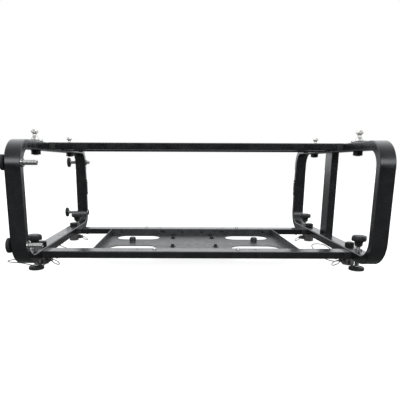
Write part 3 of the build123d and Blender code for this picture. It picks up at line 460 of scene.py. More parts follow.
FINISHES: dict[Slot, CoatFinish | MetalFinish] = {
    Slot.FRAME: CoatFinish(
        "satin_black_powder_coat", (0.0045, 0.0046, 0.0052), (0.0075, 0.0076, 0.0084), 0.24,
        rough_spread=0.05, grain_strength=0.2, dust=0.02, wear=0.08,
    ),
    Slot.BRACKET: CoatFinish(
        "matt_black_coating", (0.009, 0.009, 0.0095), (0.014, 0.014, 0.0145), 0.5,
        grain_scale=700.0, grain_depth=0.0001, dust=0.05,
    ),
    Slot.TRAY: CoatFinish(
        "textured_black_powder_coat", (0.022, 0.0225, 0.0235), (0.032, 0.0325, 0.0335), 0.4,
        grain_scale=1300.0, grain_depth=0.00012, grain_strength=0.55, dust=0.04,
    ),
    Slot.OXIDE: CoatFinish(
        "black_oxide", (0.005, 0.005, 0.0055), (0.009, 0.0088, 0.0088), 0.45,
        grain_scale=1600.0, dust=0.02, wear=0.5, specular=0.25,
    ),
    Slot.POLISHED: MetalFinish(
        "polished_steel", (0.62, 0.61, 0.59), (0.34, 0.33, 0.31), 0.13, rough_spread=0.04
    ),
    Slot.ZINC: MetalFinish(
        "bright_zinc_plate", (0.44, 0.44, 0.43), (0.22, 0.22, 0.21), 0.24, marks=0.7
    ),
    Slot.SPINDLE: MetalFinish(
        "plated_screw_steel", (0.5, 0.5, 0.49), (0.26, 0.26, 0.25), 0.2
    ),
    Slot.RUBBER: CoatFinish(
        "moulded_black_rubber", (0.009, 0.009, 0.009), (0.015, 0.015, 0.0148), 0.62,
        grain_scale=1900.0, grain_depth=0.00015, grain_strength=0.6, dust=0.04, wear=0.1,
        specular=0.35,
    ),
    Slot.KNOB: CoatFinish(
        "grained_black_plastic", (0.007, 0.007, 0.0075), (0.011, 0.011, 0.0115), 0.44,
        grain_scale=1500.0, grain_depth=0.00012, grain_strength=0.5, dust=0.05, wear=0.15,
    ),
    Slot.PIN: MetalFinish(
        "turned_stainless_steel", (0.46, 0.455, 0.445), (0.24, 0.235, 0.23), 0.2, along_x=1.0,
        along_z=0.0,
    ),
    Slot.WIRE: CoatFinish(
        "black_wire_sheath", (0.004, 0.004, 0.004), (0.008, 0.008, 0.008), 0.55,
        grain_scale=600.0, grain_depth=0.0001, dust=0.0, wear=0.0, specular=0.25,
    ),
}


class Wardrobe:
    """Every finish, built once, and the ways to put it on a piece."""

    def __init__(self, effects: EffectLibrary) -> None:
        """Builds the materials.

        Args:
            effects: the shared shader groups.
        """
        self.materials = {slot: finish.build(effects) for slot, finish in FINISHES.items()}

    def dress(self, piece: Piece, slot: Slot) -> None:
        """Puts one finish on a piece.

        Args:
            piece: the piece.
            slot: its finish.
        """
        piece.data.materials.clear()
        piece.data.materials.append(self.materials[slot])

    def install(self, piece: Piece, slot: Slot, node: str, body: str) -> Piece:
        """Dresses a piece, puts it in a CAD node's place and fixes it to a body.

        Args:
            piece: the new piece.
            slot: its finish.
            node: the CAD node that it stands for.
            body: the body that it rides on.

        Returns:
            The same piece.
        """
        self.dress(piece, slot)
        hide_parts(node)
        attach(piece, body)
        return piece

    def dress_cad(self) -> int:
        """Gives every CAD node the finish of its slot.

        Returns:
            How many nodes were dressed.
        """
        count = 0
        for part in frame["record"]["subparts"]:
            node = frame["nodes"][part["node"]]
            material = self.materials[Slot(part["material_slot"])]
            for holder in node.material_slots:
                holder.material = material
            count += 1
        return count


# --- Mesh building ---
def radius_at(radius: Radius, angle: float) -> float:
    """A ring's radius at one angle."""
    return radius(angle) if callable(radius) else radius


def angles(count: int) -> list[float]:
    """Evenly spaced angles of one turn."""
    return [TURN * step / count for step in range(count)]


def hexagon(inner: float) -> Outline:
    """The outline of a hexagon with that inner radius, as a function of angle.

    Args:
        inner: from the centre to the middle of a side.

    Returns:
        The outline.
    """

    def outline(angle: float) -> float:
        """Distance from the centre to the side at that angle."""
        turned = (angle + TURN / 12) % (TURN / 6) - TURN / 12
        return inner / math.cos(turned)

    return outline


def lobes(radius: float, depth: float, count: int, phase: float) -> Outline:
    """A round outline with soft notches, as a function of angle.

    Args:
        radius: the outer radius.
        depth: how deep a notch is.
        count: how many notches.
        phase: the angle of the middle of the first notch.

    Returns:
        The outline.
    """

    def outline(angle: float) -> float:
        """Distance from the centre at that angle."""
        wave = 0.5 + 0.5 * math.cos(count * (angle - phase))
        return radius - depth * wave**1.6

    return outline


def ribs(radius: float, depth: float, count: int) -> Outline:
    """A round outline with square-shouldered grip ribs, as a function of angle.

    Args:
        radius: the outer radius.
        depth: how deep the grooves are.
        count: how many ribs.

    Returns:
        The outline.
    """

    def outline(angle: float) -> float:
        """Distance from the centre at that angle."""
        wave = math.sin(count * angle)
        return radius - depth * (0.5 - 0.5 * math.tanh(3 * wave))

    return outline


@dataclass
class Shape:
    """Vertices and faces that are gathered before they become one mesh."""

    verts: list[Vector] = field(default_factory=list)
    faces: list[tuple[int, ...]] = field(default_factory=list)

    def row(self, points: list[Vector]) -> list[int]:
        """Adds a row of points and gives their numbers."""
        self.verts.extend(points)
        return list(range(len(self.verts) - len(points), len(self.verts)))

    def skin(self, rows: list[list[int]], segments: int) -> None:
        """Adds the faces between rows of points.

        Args:
            rows: the points' numbers; a row of one point closes an end.
            segments: points in every other row.
        """
        for low, high in zip(rows, rows[1:]):
            for step in range(segments):
                after = (step + 1) % segments
                if len(low) == 1:
                    self.faces.append((low[0], high[after], high[step]))
                elif len(high) == 1:
                    self.faces.append((low[step], low[after], high[0]))
                else:
                    self.faces.append((low[step], low[after], high[after], high[step]))

    def loft(self, rings: Rings, segments: int, place: Matrix) -> None:
        """Adds a closed skin through rings about Z.

        Args:
            rings: radius and height of each ring, from one end to the other;
                a first or last radius of 0 closes that end in a point.
            segments: points round each ring.
            place: where the skin goes.
        """
        rows: list[list[int]] = []
        for radius, z in rings:
            if radius == 0:
                rows.append(self.row([place @ Vector((0.0, 0.0, z))]))
                continue
            points = []
            for angle in angles(segments):
                reach = radius_at(radius, angle)
                point = Vector((reach * math.cos(angle), reach * math.sin(angle), z))
                points.append(place @ point)
            rows.append(self.row(points))
        self.skin(rows, segments)

    def tube(self, path: list[Vector], radius: float, segments: int) -> None:
        """Adds a round tube with flat ends along a path.

        Args:
            path: the points of its centreline.
            radius: the tube's radius.
            segments: points round the tube.
        """
        tangents = []
        for index in range(len(path)):
            before = path[max(index - 1, 0)]
            after = path[min(index + 1, len(path) - 1)]
            tangents.append((after - before).normalized())
        side = tangents[0].orthogonal().normalized()
        rows = []
        for point, tangent in zip(path, tangents):
            side = (side - tangent * side.dot(tangent)).normalized()
            other = tangent.cross(side)
            points = []
            for angle in angles(segments):
                offset = side * math.cos(angle) + other * math.sin(angle)
                points.append(point + offset * radius)
            rows.append(self.row(points))
        self.skin(rows, segments)
        self.faces.append(tuple(reversed(rows[0])))
        self.faces.append(tuple(rows[-1]))

    def finish(self, name: str, sharp_degrees: float = 38.0) -> Piece:
        """Turns the gathered faces into a shaded object.

        Args:
            name: the piece's name.
            sharp_degrees: edges bent by more than this stay sharp.

        Returns:
            The new object, linked to the scene.
        """
        mesh = bpy.data.meshes.new(name)
        mesh.from_pydata([tuple(v) for v in self.verts], [], self.faces)
        mesh.validate()
        mesh.shade_smooth()
        mesh.set_sharp_from_angle(angle=math.radians(sharp_degrees))
        piece = bpy.data.objects.new(name, mesh)
        bpy.context.scene.collection.objects.link(piece)
        return piece


def thread_rings(major: float, depth: float, pitch: float, low: float, high: float) -> Rings:
    """Rings of a helical thread, faded out at both ends.

    Args:
        major: the thread's outer radius.
        depth: from crest to root.
        pitch: from crest to crest.
        low: height of the first ring.
        high: height of the last ring.

    Returns:
        Radius and height of each ring.
    """
    count = max(2, round((high - low) / pitch * 5))
    rings: Rings = []
    for step in range(count + 1):
        z = low + (high - low) * step / count
        fade = min(1.0, (z - low) / pitch, (high - z) / pitch)

        def outline(angle: float, z: float = z, fade: float = fade) -> float:
            """The thread's radius at that angle of this ring.

            Args:
                angle: the angle.
                z: the ring's height.
                fade: how much of the depth shows.

            Returns:
                The radius.
            """
            phase = (z / pitch - angle / TURN) % 1.0
            wave = abs(2 * phase - 1)
            flat = min(1.0, max(0.0, 1.35 * wave - 0.12))
            return major - depth * (1 - flat) * fade - 0.1 * depth

        rings.append((outline, z))
    return rings


def upright(x: float, y: float, z: float) -> Matrix:
    """A place whose +Z is the frame's +Z."""
    return Matrix.Translation((x, y, z))


def facing(point: Vector, direction: Vector) -> Matrix:
    """A place at a point whose +Z runs along a direction."""
    turn = direction.to_track_quat("Z", "Y").to_matrix().to_4x4()
    return Matrix.Translation(point) @ turn


# --- Camera, lights and floor ---
@dataclass
class StudioCamera:
    """A low view from straight in front."""

    place: Point = (-0.0400, -1.7392, 0.3700)
    pitch_down: float = 12.138
    turn_right: float = 0.131
    roll: float = 0.212
    lens: float = 37.49
    sensor: float = 36.0
    shift: tuple[float, float] = (0.055, 0.1297)

    def build(self) -> Piece:
        """Makes the camera and gives it to the scene.

        Returns:
            The camera.
        """
        down = math.radians(self.pitch_down)
        yaw = math.radians(self.turn_right)
        roll = math.radians(self.roll)
        ahead = Vector(
            (math.sin(yaw) * math.cos(down), math.cos(yaw) * math.cos(down), -math.sin(down))
        )
        level = Vector((math.cos(yaw), -math.sin(yaw), 0.0))
        above = level.cross(ahead)
        right = level * math.cos(roll) + above * math.sin(roll)
        up = above * math.cos(roll) - level * math.sin(roll)
        rows = [(right[i], up[i], -ahead[i]) for i in range(3)]
        data = bpy.data.cameras.new("studio_camera")
        data.sensor_width = self.sensor
        data.lens = self.lens
        data.shift_x, data.shift_y = self.shift
        camera = bpy.data.objects.new("studio_camera", data)
        camera.matrix_world = Matrix.Translation(self.place) @ Matrix(rows).to_4x4()
        bpy.context.scene.collection.objects.link(camera)
        bpy.context.scene.camera = camera
        return camera


@dataclass
class Studio:
    """A white cove: bright behind and above, dimmer in front, white floor."""

    front_level: float = 0.0
    rear_level: float = 1.3
    top_level: float = 0.8
    side_level: float = 0.5
    tint: Colour = (0.955, 0.975, 1.0)
    floor_size: float = 40.0
    band_level: float = 5.5
    floor_seen: float = 0.92
    floor_felt: float = 0.05
    box_size: float = 1.8
    box_power: float = 9.0

    def build_world(self) -> None:
        """Makes the surroundings' light, plain white to the camera."""
        world = bpy.data.worlds.new("white_cove")
        world.use_nodes = True
        bpy.context.scene.world = world
        bpy.context.scene.view_settings.view_transform = "Standard"
        tree = Tree(world.node_tree)
        way = tree.add("TexCoord").outputs["Generated"]
        x, y, z = tree.add("SeparateXYZ", None, i0=way).outputs[:3]
        rear = tree.spread(y, -0.25, 0.45, self.front_level, self.rear_level)
        top = tree.spread(z, 0.15, 0.95, 0.0, self.top_level)
        sides = tree.math("MULTIPLY", tree.math("MULTIPLY", x, x), self.side_level)
        level = tree.math("ADD", tree.math("ADD", rear, top), sides)
        starts = tree.spread(z, 0.20, 0.34, 0.0, 1.0)
        stops = tree.spread(z, 0.42, 0.60, 1.0, 0.0)
        ahead = tree.spread(y, -0.35, -0.75, 0.0, self.band_level)
        band = tree.math("MULTIPLY", tree.math("MULTIPLY", starts, stops), ahead)
        level = tree.math("ADD", level, band)
        light = tree.add("Background", None, Color=(*self.tint, 1.0), Strength=level)
        white = tree.add("Background", None, Color=(1.0, 1.0, 1.0, 1.0), Strength=1.0)
        seen = tree.add("LightPath").outputs["Is Camera Ray"]
        both = tree.add("MixShader", None, i0=seen, i1=light.outputs[0], i2=white.outputs[0])
        tree.add("OutputWorld", None, Surface=both.outputs[0])

    def build_floor(self) -> Piece:
        """Makes the white floor.

        Returns:
            The floor.
        """
        half = self.floor_size / 2
        corners = ((-half, -half), (half, -half), (half, half), (-half, half))
        shape = Shape([Vector((x, y, 0.0)) for x, y in corners], [(0, 1, 2, 3)])
        floor = shape.finish("studio_floor")
        material, tree = begin_material("white_floor")
        place = tree.object_place()
        cloud = tree.noise(place, 2.0, 2.0)
        seen = tree.add("LightPath").outputs["Is Camera Ray"]
        tone = tree.mix(cloud, (0.27, 0.27, 0.27), (0.31, 0.31, 0.31))
        tone = tree.mix(seen, (0.12, 0.12, 0.12), tone)
        glow = tree.spread(seen, 0.0, 1.0, self.floor_felt, self.floor_seen)
        emission = {"Emission_Color": (1.0, 1.0, 1.0, 1.0), "Emission_Strength": glow}
        matt = {"Roughness": 0.9, "Specular_IOR_Level": 0.0}
        close_material(tree, Base_Color=tone, **matt, **emission)
        floor.data.materials.append(material)
        return floor

    def build_lights(self) -> None:
        """Makes the overhead softbox."""
        data = bpy.data.lights.new("overhead_softbox", "AREA")
        data.shape = "SQUARE"
        data.size = self.box_size
        data.energy = self.box_power
        light = bpy.data.objects.new("overhead_softbox", data)
        light.matrix_world = facing(Vector((0.1, 0.5, 2.4)), Vector((0.03, 0.15, 1.0)))
        bpy.context.scene.collection.objects.link(light)


# --- Lanyards ---
@dataclass
class Lanyard:
    """A sheathed wire rope from a pin to the clip under its hoop."""

    corner: Corner
    length: float
    route: tuple[Point, ...]
    give: Point
    radius: float = 0.0015
    ferrule_radius: float = 0.0024
    ferrule_length: float = 0.011

    def centreline(self) -> list[Vector]:
        """The rope's smooth line, read from its own spline.

        Returns:
            Points from the pin to the clip.
        """
        curve = self.spline("route")
        holder = bpy.data.objects.new("route", curve)
        bpy.context.scene.collection.objects.link(holder)
        bpy.context.view_layer.update()
        mesh = bpy.data.meshes.new_from_object(holder)
        points = [v.co.copy() for v in mesh.vertices]
        bpy.data.objects.remove(holder)
        bpy.data.meshes.remove(mesh)
        return points

    def spline(self, name: str) -> bpy.types.Curve:
        """The route as one smooth spline.

        Args:
            name: the curve's name.

        Returns:
            The curve.
        """
        curve = bpy.data.curves.new(name, "CURVE")
        curve.dimensions = "3D"
        curve.resolution_u = 10
        spline = curve.splines.new("NURBS")
        spline.points.add(len(self.route) - 1)
        for point, place in zip(spline.points, self.route):
            point.co = (*place, 1.0)
        spline.order_u = 3
        spline.use_endpoint_u = True
        return curve

    def build(self, wardrobe: Wardrobe) -> list[Piece]:
        """Makes the rope and its two ferrules.

        Args:
            wardrobe: the finishes.

        Returns:
            The pieces made.
        """
        label = self.corner.label
        path = self.centreline()
        rope_shape = Shape()
        rope_shape.tube(path, self.radius, 14)
        rope = rope_shape.finish(f"lanyard_rope_{label}")
        wardrobe.dress(rope, Slot.WIRE)
        ferrules = []
        for name, line in (("pin", path), ("clip", list(reversed(path)))):
            ferrules.append(self.ferrule(f"lanyard_ferrule_{name}_{label}", line))
            wardrobe.dress(ferrules[-1], Slot.OXIDE)
        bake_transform(rope)
        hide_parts(f"lanyard_{label}")
        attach(ferrules[0], f"pin_{label}")
        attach(ferrules[1], "root")
        return [rope, *ferrules]

    def ferrule(self, name: str, line: list[Vector]) -> Piece:
        """A crimped sleeve over the first stretch of a line.

        Args:
            name: the piece's name.
            line: points along the rope, from the sleeve's end of it.

        Returns:
            The sleeve.
        """
        travelled = 0.0
        shape = Shape()
        end = line[0]
        for here, after in zip(line, line[1:]):
            travelled += (after - here).length
            end = after
            if travelled >= self.ferrule_length:
                break
        direction = (end - line[0]).normalized()
        full, waist = self.ferrule_radius, self.ferrule_radius * 0.86
        reach = self.ferrule_length
        rings = [
            (0, 0.0), (full * 0.9, 0.0), (full, 0.0005), (full, reach * 0.24),
            (waist, reach * 0.3), (waist, reach * 0.46), (full, reach * 0.52),
            (waist, reach * 0.58), (waist, reach * 0.74), (full, reach * 0.8),
            (full, reach - 0.0005), (full * 0.9, reach), (0, reach),
        ]
        shape.loft(rings, 20, facing(line[0], direction))
        return shape.finish(name)


LANYARDS = (
    Lanyard(
        Corner.FRONT_RIGHT,
        0.6945,
        (
            (0.569, -0.237, 0.019), (0.569, -0.222, 0.015), (0.566, -0.205, 0.006),
            (0.556, -0.187, 0.0016), (0.544, -0.16, 0.0016), (0.54, -0.112, 0.0016),
            (0.544, -0.062, 0.0016), (0.5485, -0.012, 0.0016), (0.556, 0.038, 0.0016),
            (0.563, 0.084, 0.0016), (0.574, 0.124, 0.0016), (0.587, 0.152, 0.0016),
            (0.608, 0.167, 0.0016), (0.627, 0.158, 0.0016), (0.635, 0.132, 0.0016),
            (0.634, 0.092, 0.0016), (0.632, 0.044, 0.0016), (0.626, 0.0, 0.003),
            (0.613, -0.032, 0.014), (0.598, -0.049, 0.03), (0.594, -0.06, 0.036),
            (0.594, -0.073, 0.036),
        ),
        give=(0.0, 0.11, 0.0),
    ),
    Lanyard(
        Corner.FRONT_LEFT,
        0.6552,
        (
            (-0.511, -0.2575, 0.019), (-0.5115, -0.267, 0.015), (-0.518, -0.273, 0.007),
            (-0.533, -0.275, 0.0016), (-0.559, -0.27, 0.0016), (-0.589, -0.25, 0.0016),
            (-0.619, -0.231, 0.0016), (-0.653, -0.222, 0.0016), (-0.679, -0.212, 0.0016),
            (-0.683, -0.19, 0.0016), (-0.663, -0.172, 0.0016), (-0.623, -0.163, 0.0016),
            (-0.577, -0.158, 0.0016), (-0.531, -0.148, 0.0016), (-0.491, -0.122, 0.0016),
            (-0.467, -0.08, 0.0016), (-0.465, -0.036, 0.0016), (-0.483, -0.008, 0.003),
            (-0.511, -0.004, 0.012), (-0.529, -0.024, 0.026), (-0.536, -0.048, 0.036),
            (-0.536, -0.073, 0.036),
        ),
        give=(-0.06, 0.04, 0.0),
    ),
)


# --- Screws ---
@dataclass
class Island:
    """One separate solid of a CAD node, read as a screw."""

    head: Vector
    ahead: Vector
    head_radius: float
    head_height: float
    shank_radius: float
    shank_length: float


def islands(node: str) -> list[list[Vector]]:
    """The separate solids of a CAD node.

    Args:
        node: the node's name.

    Returns:
        The points of each solid, in a steady order.
    """
    mesh = frame["nodes"][node].data
    keys = [tuple(round(c * 1e6) for c in v.co) for v in mesh.vertices]
    parent: dict[tuple[int, ...], tuple[int, ...]] = {key: key for key in keys}

    def root(key: tuple[int, ...]) -> tuple[int, ...]:
        """The key that stands for this one's solid.

        Args:
            key: a point's key.

        Returns:
            The solid's key.
        """
        while parent[key] != key:
            parent[key] = parent[parent[key]]
            key = parent[key]
        return key

    for edge in mesh.edges:
        a, b = (root(keys[i]) for i in edge.vertices)
        parent[a] = b
    groups: dict[tuple[int, ...], list[Vector]] = {}
    for key, vert in zip(keys, mesh.vertices):
        groups.setdefault(root(key), []).append(vert.co.copy())
    return sorted(groups.values(), key=lambda g: tuple(round(c, 4) for c in g[0]))


def read_screw(points: list[Vector]) -> Island:
    """Finds a screw's axis, head and shank from its points.

    Args:
        points: the points of one solid.

    Returns:
        What was read; its head's top is at `head` and the shank runs `ahead`.
    """
    low = Vector([min(p[i] for p in points) for i in range(3)])
    high = Vector([max(p[i] for p in points) for i in range(3)])
    axis = max(range(3), key=lambda i: high[i] - low[i])
    centre = (low + high) / 2
    others = [i for i in range(3) if i != axis]

    def reach(p: Vector) -> float:
        """How far a point is from the screw's axis."""
        return math.hypot(p[others[0]] - centre[others[0]], p[others[1]] - centre[others[1]])

    widest = max(reach(p) for p in points)
    rim = [p[axis] for p in points if reach(p) > 0.97 * widest]
    at_low = sum(rim) / len(rim) < centre[axis]
    top = low[axis] if at_low else high[axis]
    base = max(rim) if at_low else min(rim)
    shank = [p for p in points if (p[axis] > base + 1e-4) == at_low and abs(p[axis] - base) > 1e-4]
    head = centre.copy()
    head[axis] = top
    ahead = Vector((0.0, 0.0, 0.0))
    ahead[axis] = 1.0 if at_low else -1.0
    tip = high[axis] if at_low else low[axis]
    return Island(
        head=head,
        ahead=ahead,
        head_radius=widest,
        head_height=abs(base - top),
        shank_radius=max(reach(p) for p in shank),
        shank_length=abs(tip - base),
    )


class HeadStyle(Enum):
    """How a screw's head is formed."""

    BUTTON = "button"
    CAP = "cap"


@dataclass
class ScrewSet:
    """All the screws of one CAD node, with sockets and rounded heads."""

    node: str
    slot: Slot
    style: HeadStyle = HeadStyle.BUTTON
    socket_share: float = 0.36
    segments: int = 36

    def build(self, wardrobe: Wardrobe) -> Piece:
        """Makes one piece that stands for the node.

        Args:
            wardrobe: the finishes.

        Returns:
            The piece.
        """
        shape = Shape()
        for points in islands(self.node):
            self.add_screw(shape, read_screw(points))
        piece = shape.finish(f"{self.node}_detailed")
        return wardrobe.install(piece, self.slot, self.node, "root")

    def add_screw(self, shape: Shape, screw: Island) -> None:
        """Adds one screw, from the bottom of its socket to its tip.

        Args:
            shape: what it is added to.
            screw: the sizes and place of the screw.
        """
        wide, tall = screw.head_radius, screw.head_height
        socket = hexagon(wide * self.socket_share)
        mouth = hexagon(wide * self.socket_share * 1.12)
        deep = tall * 0.62
        rings: Rings = [(0, deep), (socket, deep), (socket, tall * 0.1)]
        if self.style is HeadStyle.BUTTON:
            rings += [
                (mouth, 0.0), (wide * 0.52, 0.0), (wide * 0.66, tall * 0.07),
                (wide * 0.8, tall * 0.2), (wide * 0.9, tall * 0.38), (wide * 0.97, tall * 0.6),
                (wide, tall * 0.8),
            ]
        else:
            grip = ribs(wide, wide * 0.03, 18)
            rings += [
                (mouth, 0.0), (wide * 0.86, 0.0), (wide * 0.93, tall * 0.03),
                (wide * 0.97, tall * 0.09), (grip, tall * 0.12), (grip, tall * 0.9),
            ]
        shank = screw.shank_radius
        end = tall + screw.shank_length
        rings += [
            (wide, tall), (shank, tall), (shank, end - shank * 0.2), (shank * 0.8, end),
            (0, end),
        ]
        flip = Matrix.Diagonal((1.0, -1.0, 1.0, 1.0))
        shape.loft(rings, self.segments, facing(screw.head, screw.ahead) @ flip)


SCREW_SETS = (
    ScrewSet("hoop_bolts", Slot.OXIDE),
    ScrewSet("strut_bolts", Slot.OXIDE),
    ScrewSet("rail_clamp_bolts", Slot.OXIDE),
    ScrewSet("tray_rail_bolts", Slot.OXIDE),
    ScrewSet("rail_dome_bolts", Slot.POLISHED),
    ScrewSet("pad_bolts", Slot.POLISHED),
    ScrewSet("tray_cap_screws", Slot.OXIDE, HeadStyle.CAP, socket_share=0.47),
)


# --- Studs ---
@dataclass
class StackingStuds:
    """The four turned studs on top of the hoops."""

    spread_x: float = 0.565
    spread_y: float = 0.237
    deck: float = 0.440
    profile: tuple[tuple[float, float], ...] = (
        (0, -47.0), (9.2, -47.0), (10.0, -46.0), (10.0, 0.0), (25.2, 0.0), (26.0, 0.8),
        (26.0, 5.0), (25.0, 6.0), (16.4, 6.0), (15.6, 6.3), (13.1, 9.0), (10.9, 12.4),
        (8.9, 16.2), (7.3, 19.4), (6.5, 21.4), (6.5, 24.4), (7.0, 26.0), (9.0, 28.6),
        (11.6, 30.6), (12.4, 31.3), (12.5, 32.0), (12.4, 32.9), (11.6, 34.3), (9.4, 37.4),
        (7.4, 40.0), (6.6, 40.8), (5.6, 41.0), (0, 41.0),
    )

    def build(self, wardrobe: Wardrobe) -> Piece:
        """Makes the studs as one piece.

        Args:
            wardrobe: the finishes.

        Returns:
            The piece.
        """
        shape = Shape()
        rings = [(r * MM, z * MM) for r, z in self.profile]
        for corner in Corner:
            x = HOOP_MIDDLE + corner.side * self.spread_x
            shape.loft(rings, 56, upright(x, corner.end * self.spread_y, self.deck))
        piece = shape.finish("stacking_studs_turned", 30.0)
        return wardrobe.install(piece, Slot.POLISHED, "stacking_studs", "root")


# --- Screw feet ---
def foot_rings(radius: float, height: float, bore: float) -> Rings:
    """Rings of a ribbed rubber foot with a blind bore.

    Args:
        radius: the foot's outer radius.
        height: its height.
        bore: radius of the bore for the spindle's end.

    Returns:
        Radius and height of each ring, from the sole to the bore's floor.
    """
    grip = ribs(radius, 0.0006, 36)
    return [
        (0, 0.0), (radius - 0.0022, 0.0), (radius - 0.0008, 0.0006), (radius, 0.0016),
        (radius, 0.0026), (grip, 0.0032), (grip, height - 0.0044),
        (radius - 0.0002, height - 0.0038), (radius - 0.0006, height - 0.0026),
        (radius - 0.0018, height - 0.0010), (radius - 0.0036, height - 0.0002),
        (radius - 0.0060, height), (radius - 0.0074, height - 0.0008),
        (bore + 0.0062, height - 0.0008), (bore + 0.0050, height), (bore, height),
        (bore, height - 0.0064), (0, height - 0.0064),
    ]


@dataclass(frozen=True)
class FootParts:
    """A ribbed rubber disc and the threaded spindle that turns in it."""

    disc_radius: float
    disc_height: float = 0.012
    spindle_radius: float = 0.008
    spindle_base: float = 0.006
    journal_radius: float = 0.005
    bore_gap: float = 0.00008
    shoulder_gap: float = 0.0003
    thread_pitch: float = 0.002
    thread_depth: float = 0.0009

    def disc(self, name: str, place: Matrix) -> Piece:
        """Makes the disc.

        Args:
            name: the piece's name.
            place: the middle of its sole.

        Returns:
            The disc.
        """
        shape = Shape()
        bore = self.journal_radius + self.bore_gap
        shape.loft(foot_rings(self.disc_radius, self.disc_height, bore), 216, place)
        return shape.finish(name)

    def spindle_rings(self, top: float) -> Rings:
        """Rings of the plain journal, the shoulder and the thread.

        Args:
            top: height of the thread's end.

        Returns:
            Radius and height of each ring.
        """
        major, journal, base = self.spindle_radius, self.journal_radius, self.spindle_base
        start = self.disc_height + self.shoulder_gap
        rings: Rings = [(0, base), (journal, base), (journal, start)]
        rings += [(major * 0.88, start), (major * 0.97, start + 0.0006)]
        low = start + 0.001
        return rings + thread_rings(major, self.thread_depth, self.thread_pitch, low, top)


@dataclass
class ScrewFoot:
    """One corner's foot: rubber disc, threaded spindle and star knob."""

    corner: Corner
    spread_x: float = 0.565
    spread_y: float = 0.312
    parts: FootParts = FootParts(disc_radius=0.026)
    spindle_top: float = 0.118
    knob_base: float = 0.104
    knob_hub: float = 0.016
    knob_lobes: int = 6

    def place(self, z: float) -> Matrix:
        """A place on the foot's axis."""
        x = HOOP_MIDDLE + self.corner.side * self.spread_x
        return upright(x, self.corner.end * self.spread_y, z)

    def build(self, wardrobe: Wardrobe) -> list[Piece]:
        """Makes the three pieces.

        Args:
            wardrobe: the finishes.

        Returns:
            The pieces made.
        """
        label = self.corner.label
        disc = self.parts.disc(f"rubber_foot_{label}", self.place(0))
        spindle, knob = self.spindle(), self.knob()
        screw = f"foot_screw_{label}"
        wardrobe.install(disc, Slot.RUBBER, f"foot_disc_{label}", f"foot_{label}")
        wardrobe.install(spindle, Slot.SPINDLE, f"foot_spindle_{label}", screw)
        wardrobe.install(knob, Slot.KNOB, f"foot_knob_{label}", screw)
        return [disc, spindle, knob]

    def spindle(self) -> Piece:
        """The threaded spindle with its plain journal.

        Returns:
            The spindle.
        """
        shape = Shape()
        top, end = self.knob_base - self.knob_hub, self.spindle_top
        wide = self.parts.spindle_radius * 0.95
        rings = self.parts.spindle_rings(top) + [(wide, top + 0.001), (wide, end), (0, end)]
        shape.loft(rings, 32, self.place(0))
        return shape.finish(f"screw_spindle_{self.corner.label}", 50.0)

    def knob(self) -> Piece:
        """The moulded star knob with a domed head and a tapered hub.

        Returns:
            The knob.
        """

        def star(radius: float, depth: float) -> Outline:
            """One ring of the star, in millimetres."""
            return lobes(radius * MM, depth * MM, self.knob_lobes, math.radians(30))

        shape = Shape()
        profile: Rings = [
            (0, -18.0), (11.4 * MM, -18.0), (12.6 * MM, -17.6), (13.0 * MM, -16.8),
            (13.2 * MM, -14.0), (13.6 * MM, -9.0), (14.3 * MM, -4.6), (15.4 * MM, -2.2),
            (17.0 * MM, -0.6), (star(21.0, 2.0), 0.1), (star(24.0, 3.4), 0.7),
            (star(25.5, 4.0), 1.9), (star(26.0, 4.2), 3.6), (star(26.0, 4.2), 12.5),
            (star(25.6, 4.1), 15.2), (star(24.4, 3.7), 17.4), (star(22.2, 2.9), 19.0),
            (star(19.0, 1.8), 19.8), (16.0 * MM, 20.0), (13.4 * MM, 19.9), (12.2 * MM, 19.3),
            (0, 19.1),
        ]
        rings = [(radius, z * MM) for radius, z in profile]
        shape.loft(rings, 96, self.place(self.knob_base))
        return shape.finish(f"star_knob_{self.corner.label}", 45.0)


class SideFootPlace(Enum):
    """A side foot of the left hoop: name, end in Y, height, how far it is out."""

    FRONT_LOW = ("front_low", -1, 0.112, 0.0)
    FRONT_HIGH = ("front_high", -1, 0.368, 0.0)
    REAR_LOW = ("rear_low", 1, 0.112, 0.050)
    REAR_HIGH = ("rear_high", 1, 0.368, 0.028)


@dataclass
class SideFoot:
    """A foot on the left hoop's side: rubber disc and threaded spindle."""

    where: SideFootPlace
    hoop_face: float = -0.561
    post_y: float = 0.450
    disc_gap: float = 0.0005
    parts: FootParts = FootParts(disc_radius=0.024)
    spindle_length: float = 0.098
    socket_radius: float = 0.004
    socket_depth: float = 0.006

    def place(self) -> Matrix:
        """The foot's sole, with +Z towards the frame.

        Returns:
            The place.
        """
        _, end, height, out = self.where.value
        face = self.hoop_face - self.disc_gap - self.parts.disc_height - out
        point = Vector((face, end * self.post_y, height))
        return facing(point, Vector((1.0, 0.0, 0.0)))

    def build(self, wardrobe: Wardrobe) -> list[Piece]:
        """Makes the two pieces.

        Args:
            wardrobe: the finishes.

        Returns:
            The pieces made.
        """
        label = self.where.value[0]
        disc = self.parts.disc(f"side_rubber_foot_{label}", self.place())
        wardrobe.install(disc, Slot.RUBBER, f"side_foot_disc_{label}", f"side_foot_{label}")
        spindle, screw = self.spindle(), f"side_screw_{label}"
        wardrobe.install(spindle, Slot.SPINDLE, f"side_foot_spindle_{label}", screw)
        return [disc, spindle]

    def spindle(self) -> Piece:
        """The threaded spindle with a chamfered, hex-socketed inner end.

        Returns:
            The spindle.
        """
        major = self.parts.spindle_radius
        tip = self.parts.disc_height + self.spindle_length
        rings = self.parts.spindle_rings(tip - 0.0016)
        socket, floor = hexagon(self.socket_radius), tip - self.socket_depth
        mouth = hexagon(self.socket_radius + 0.0003)
        rings += [(major * 0.9, tip - 0.0008), (major * 0.82, tip), (mouth, tip)]
        rings += [(socket, tip - 0.0004), (socket, floor), (0, floor)]
        shape = Shape()
        shape.loft(rings, 36, self.place())
        return shape.finish(f"side_screw_spindle_{self.where.value[0]}", 50.0)


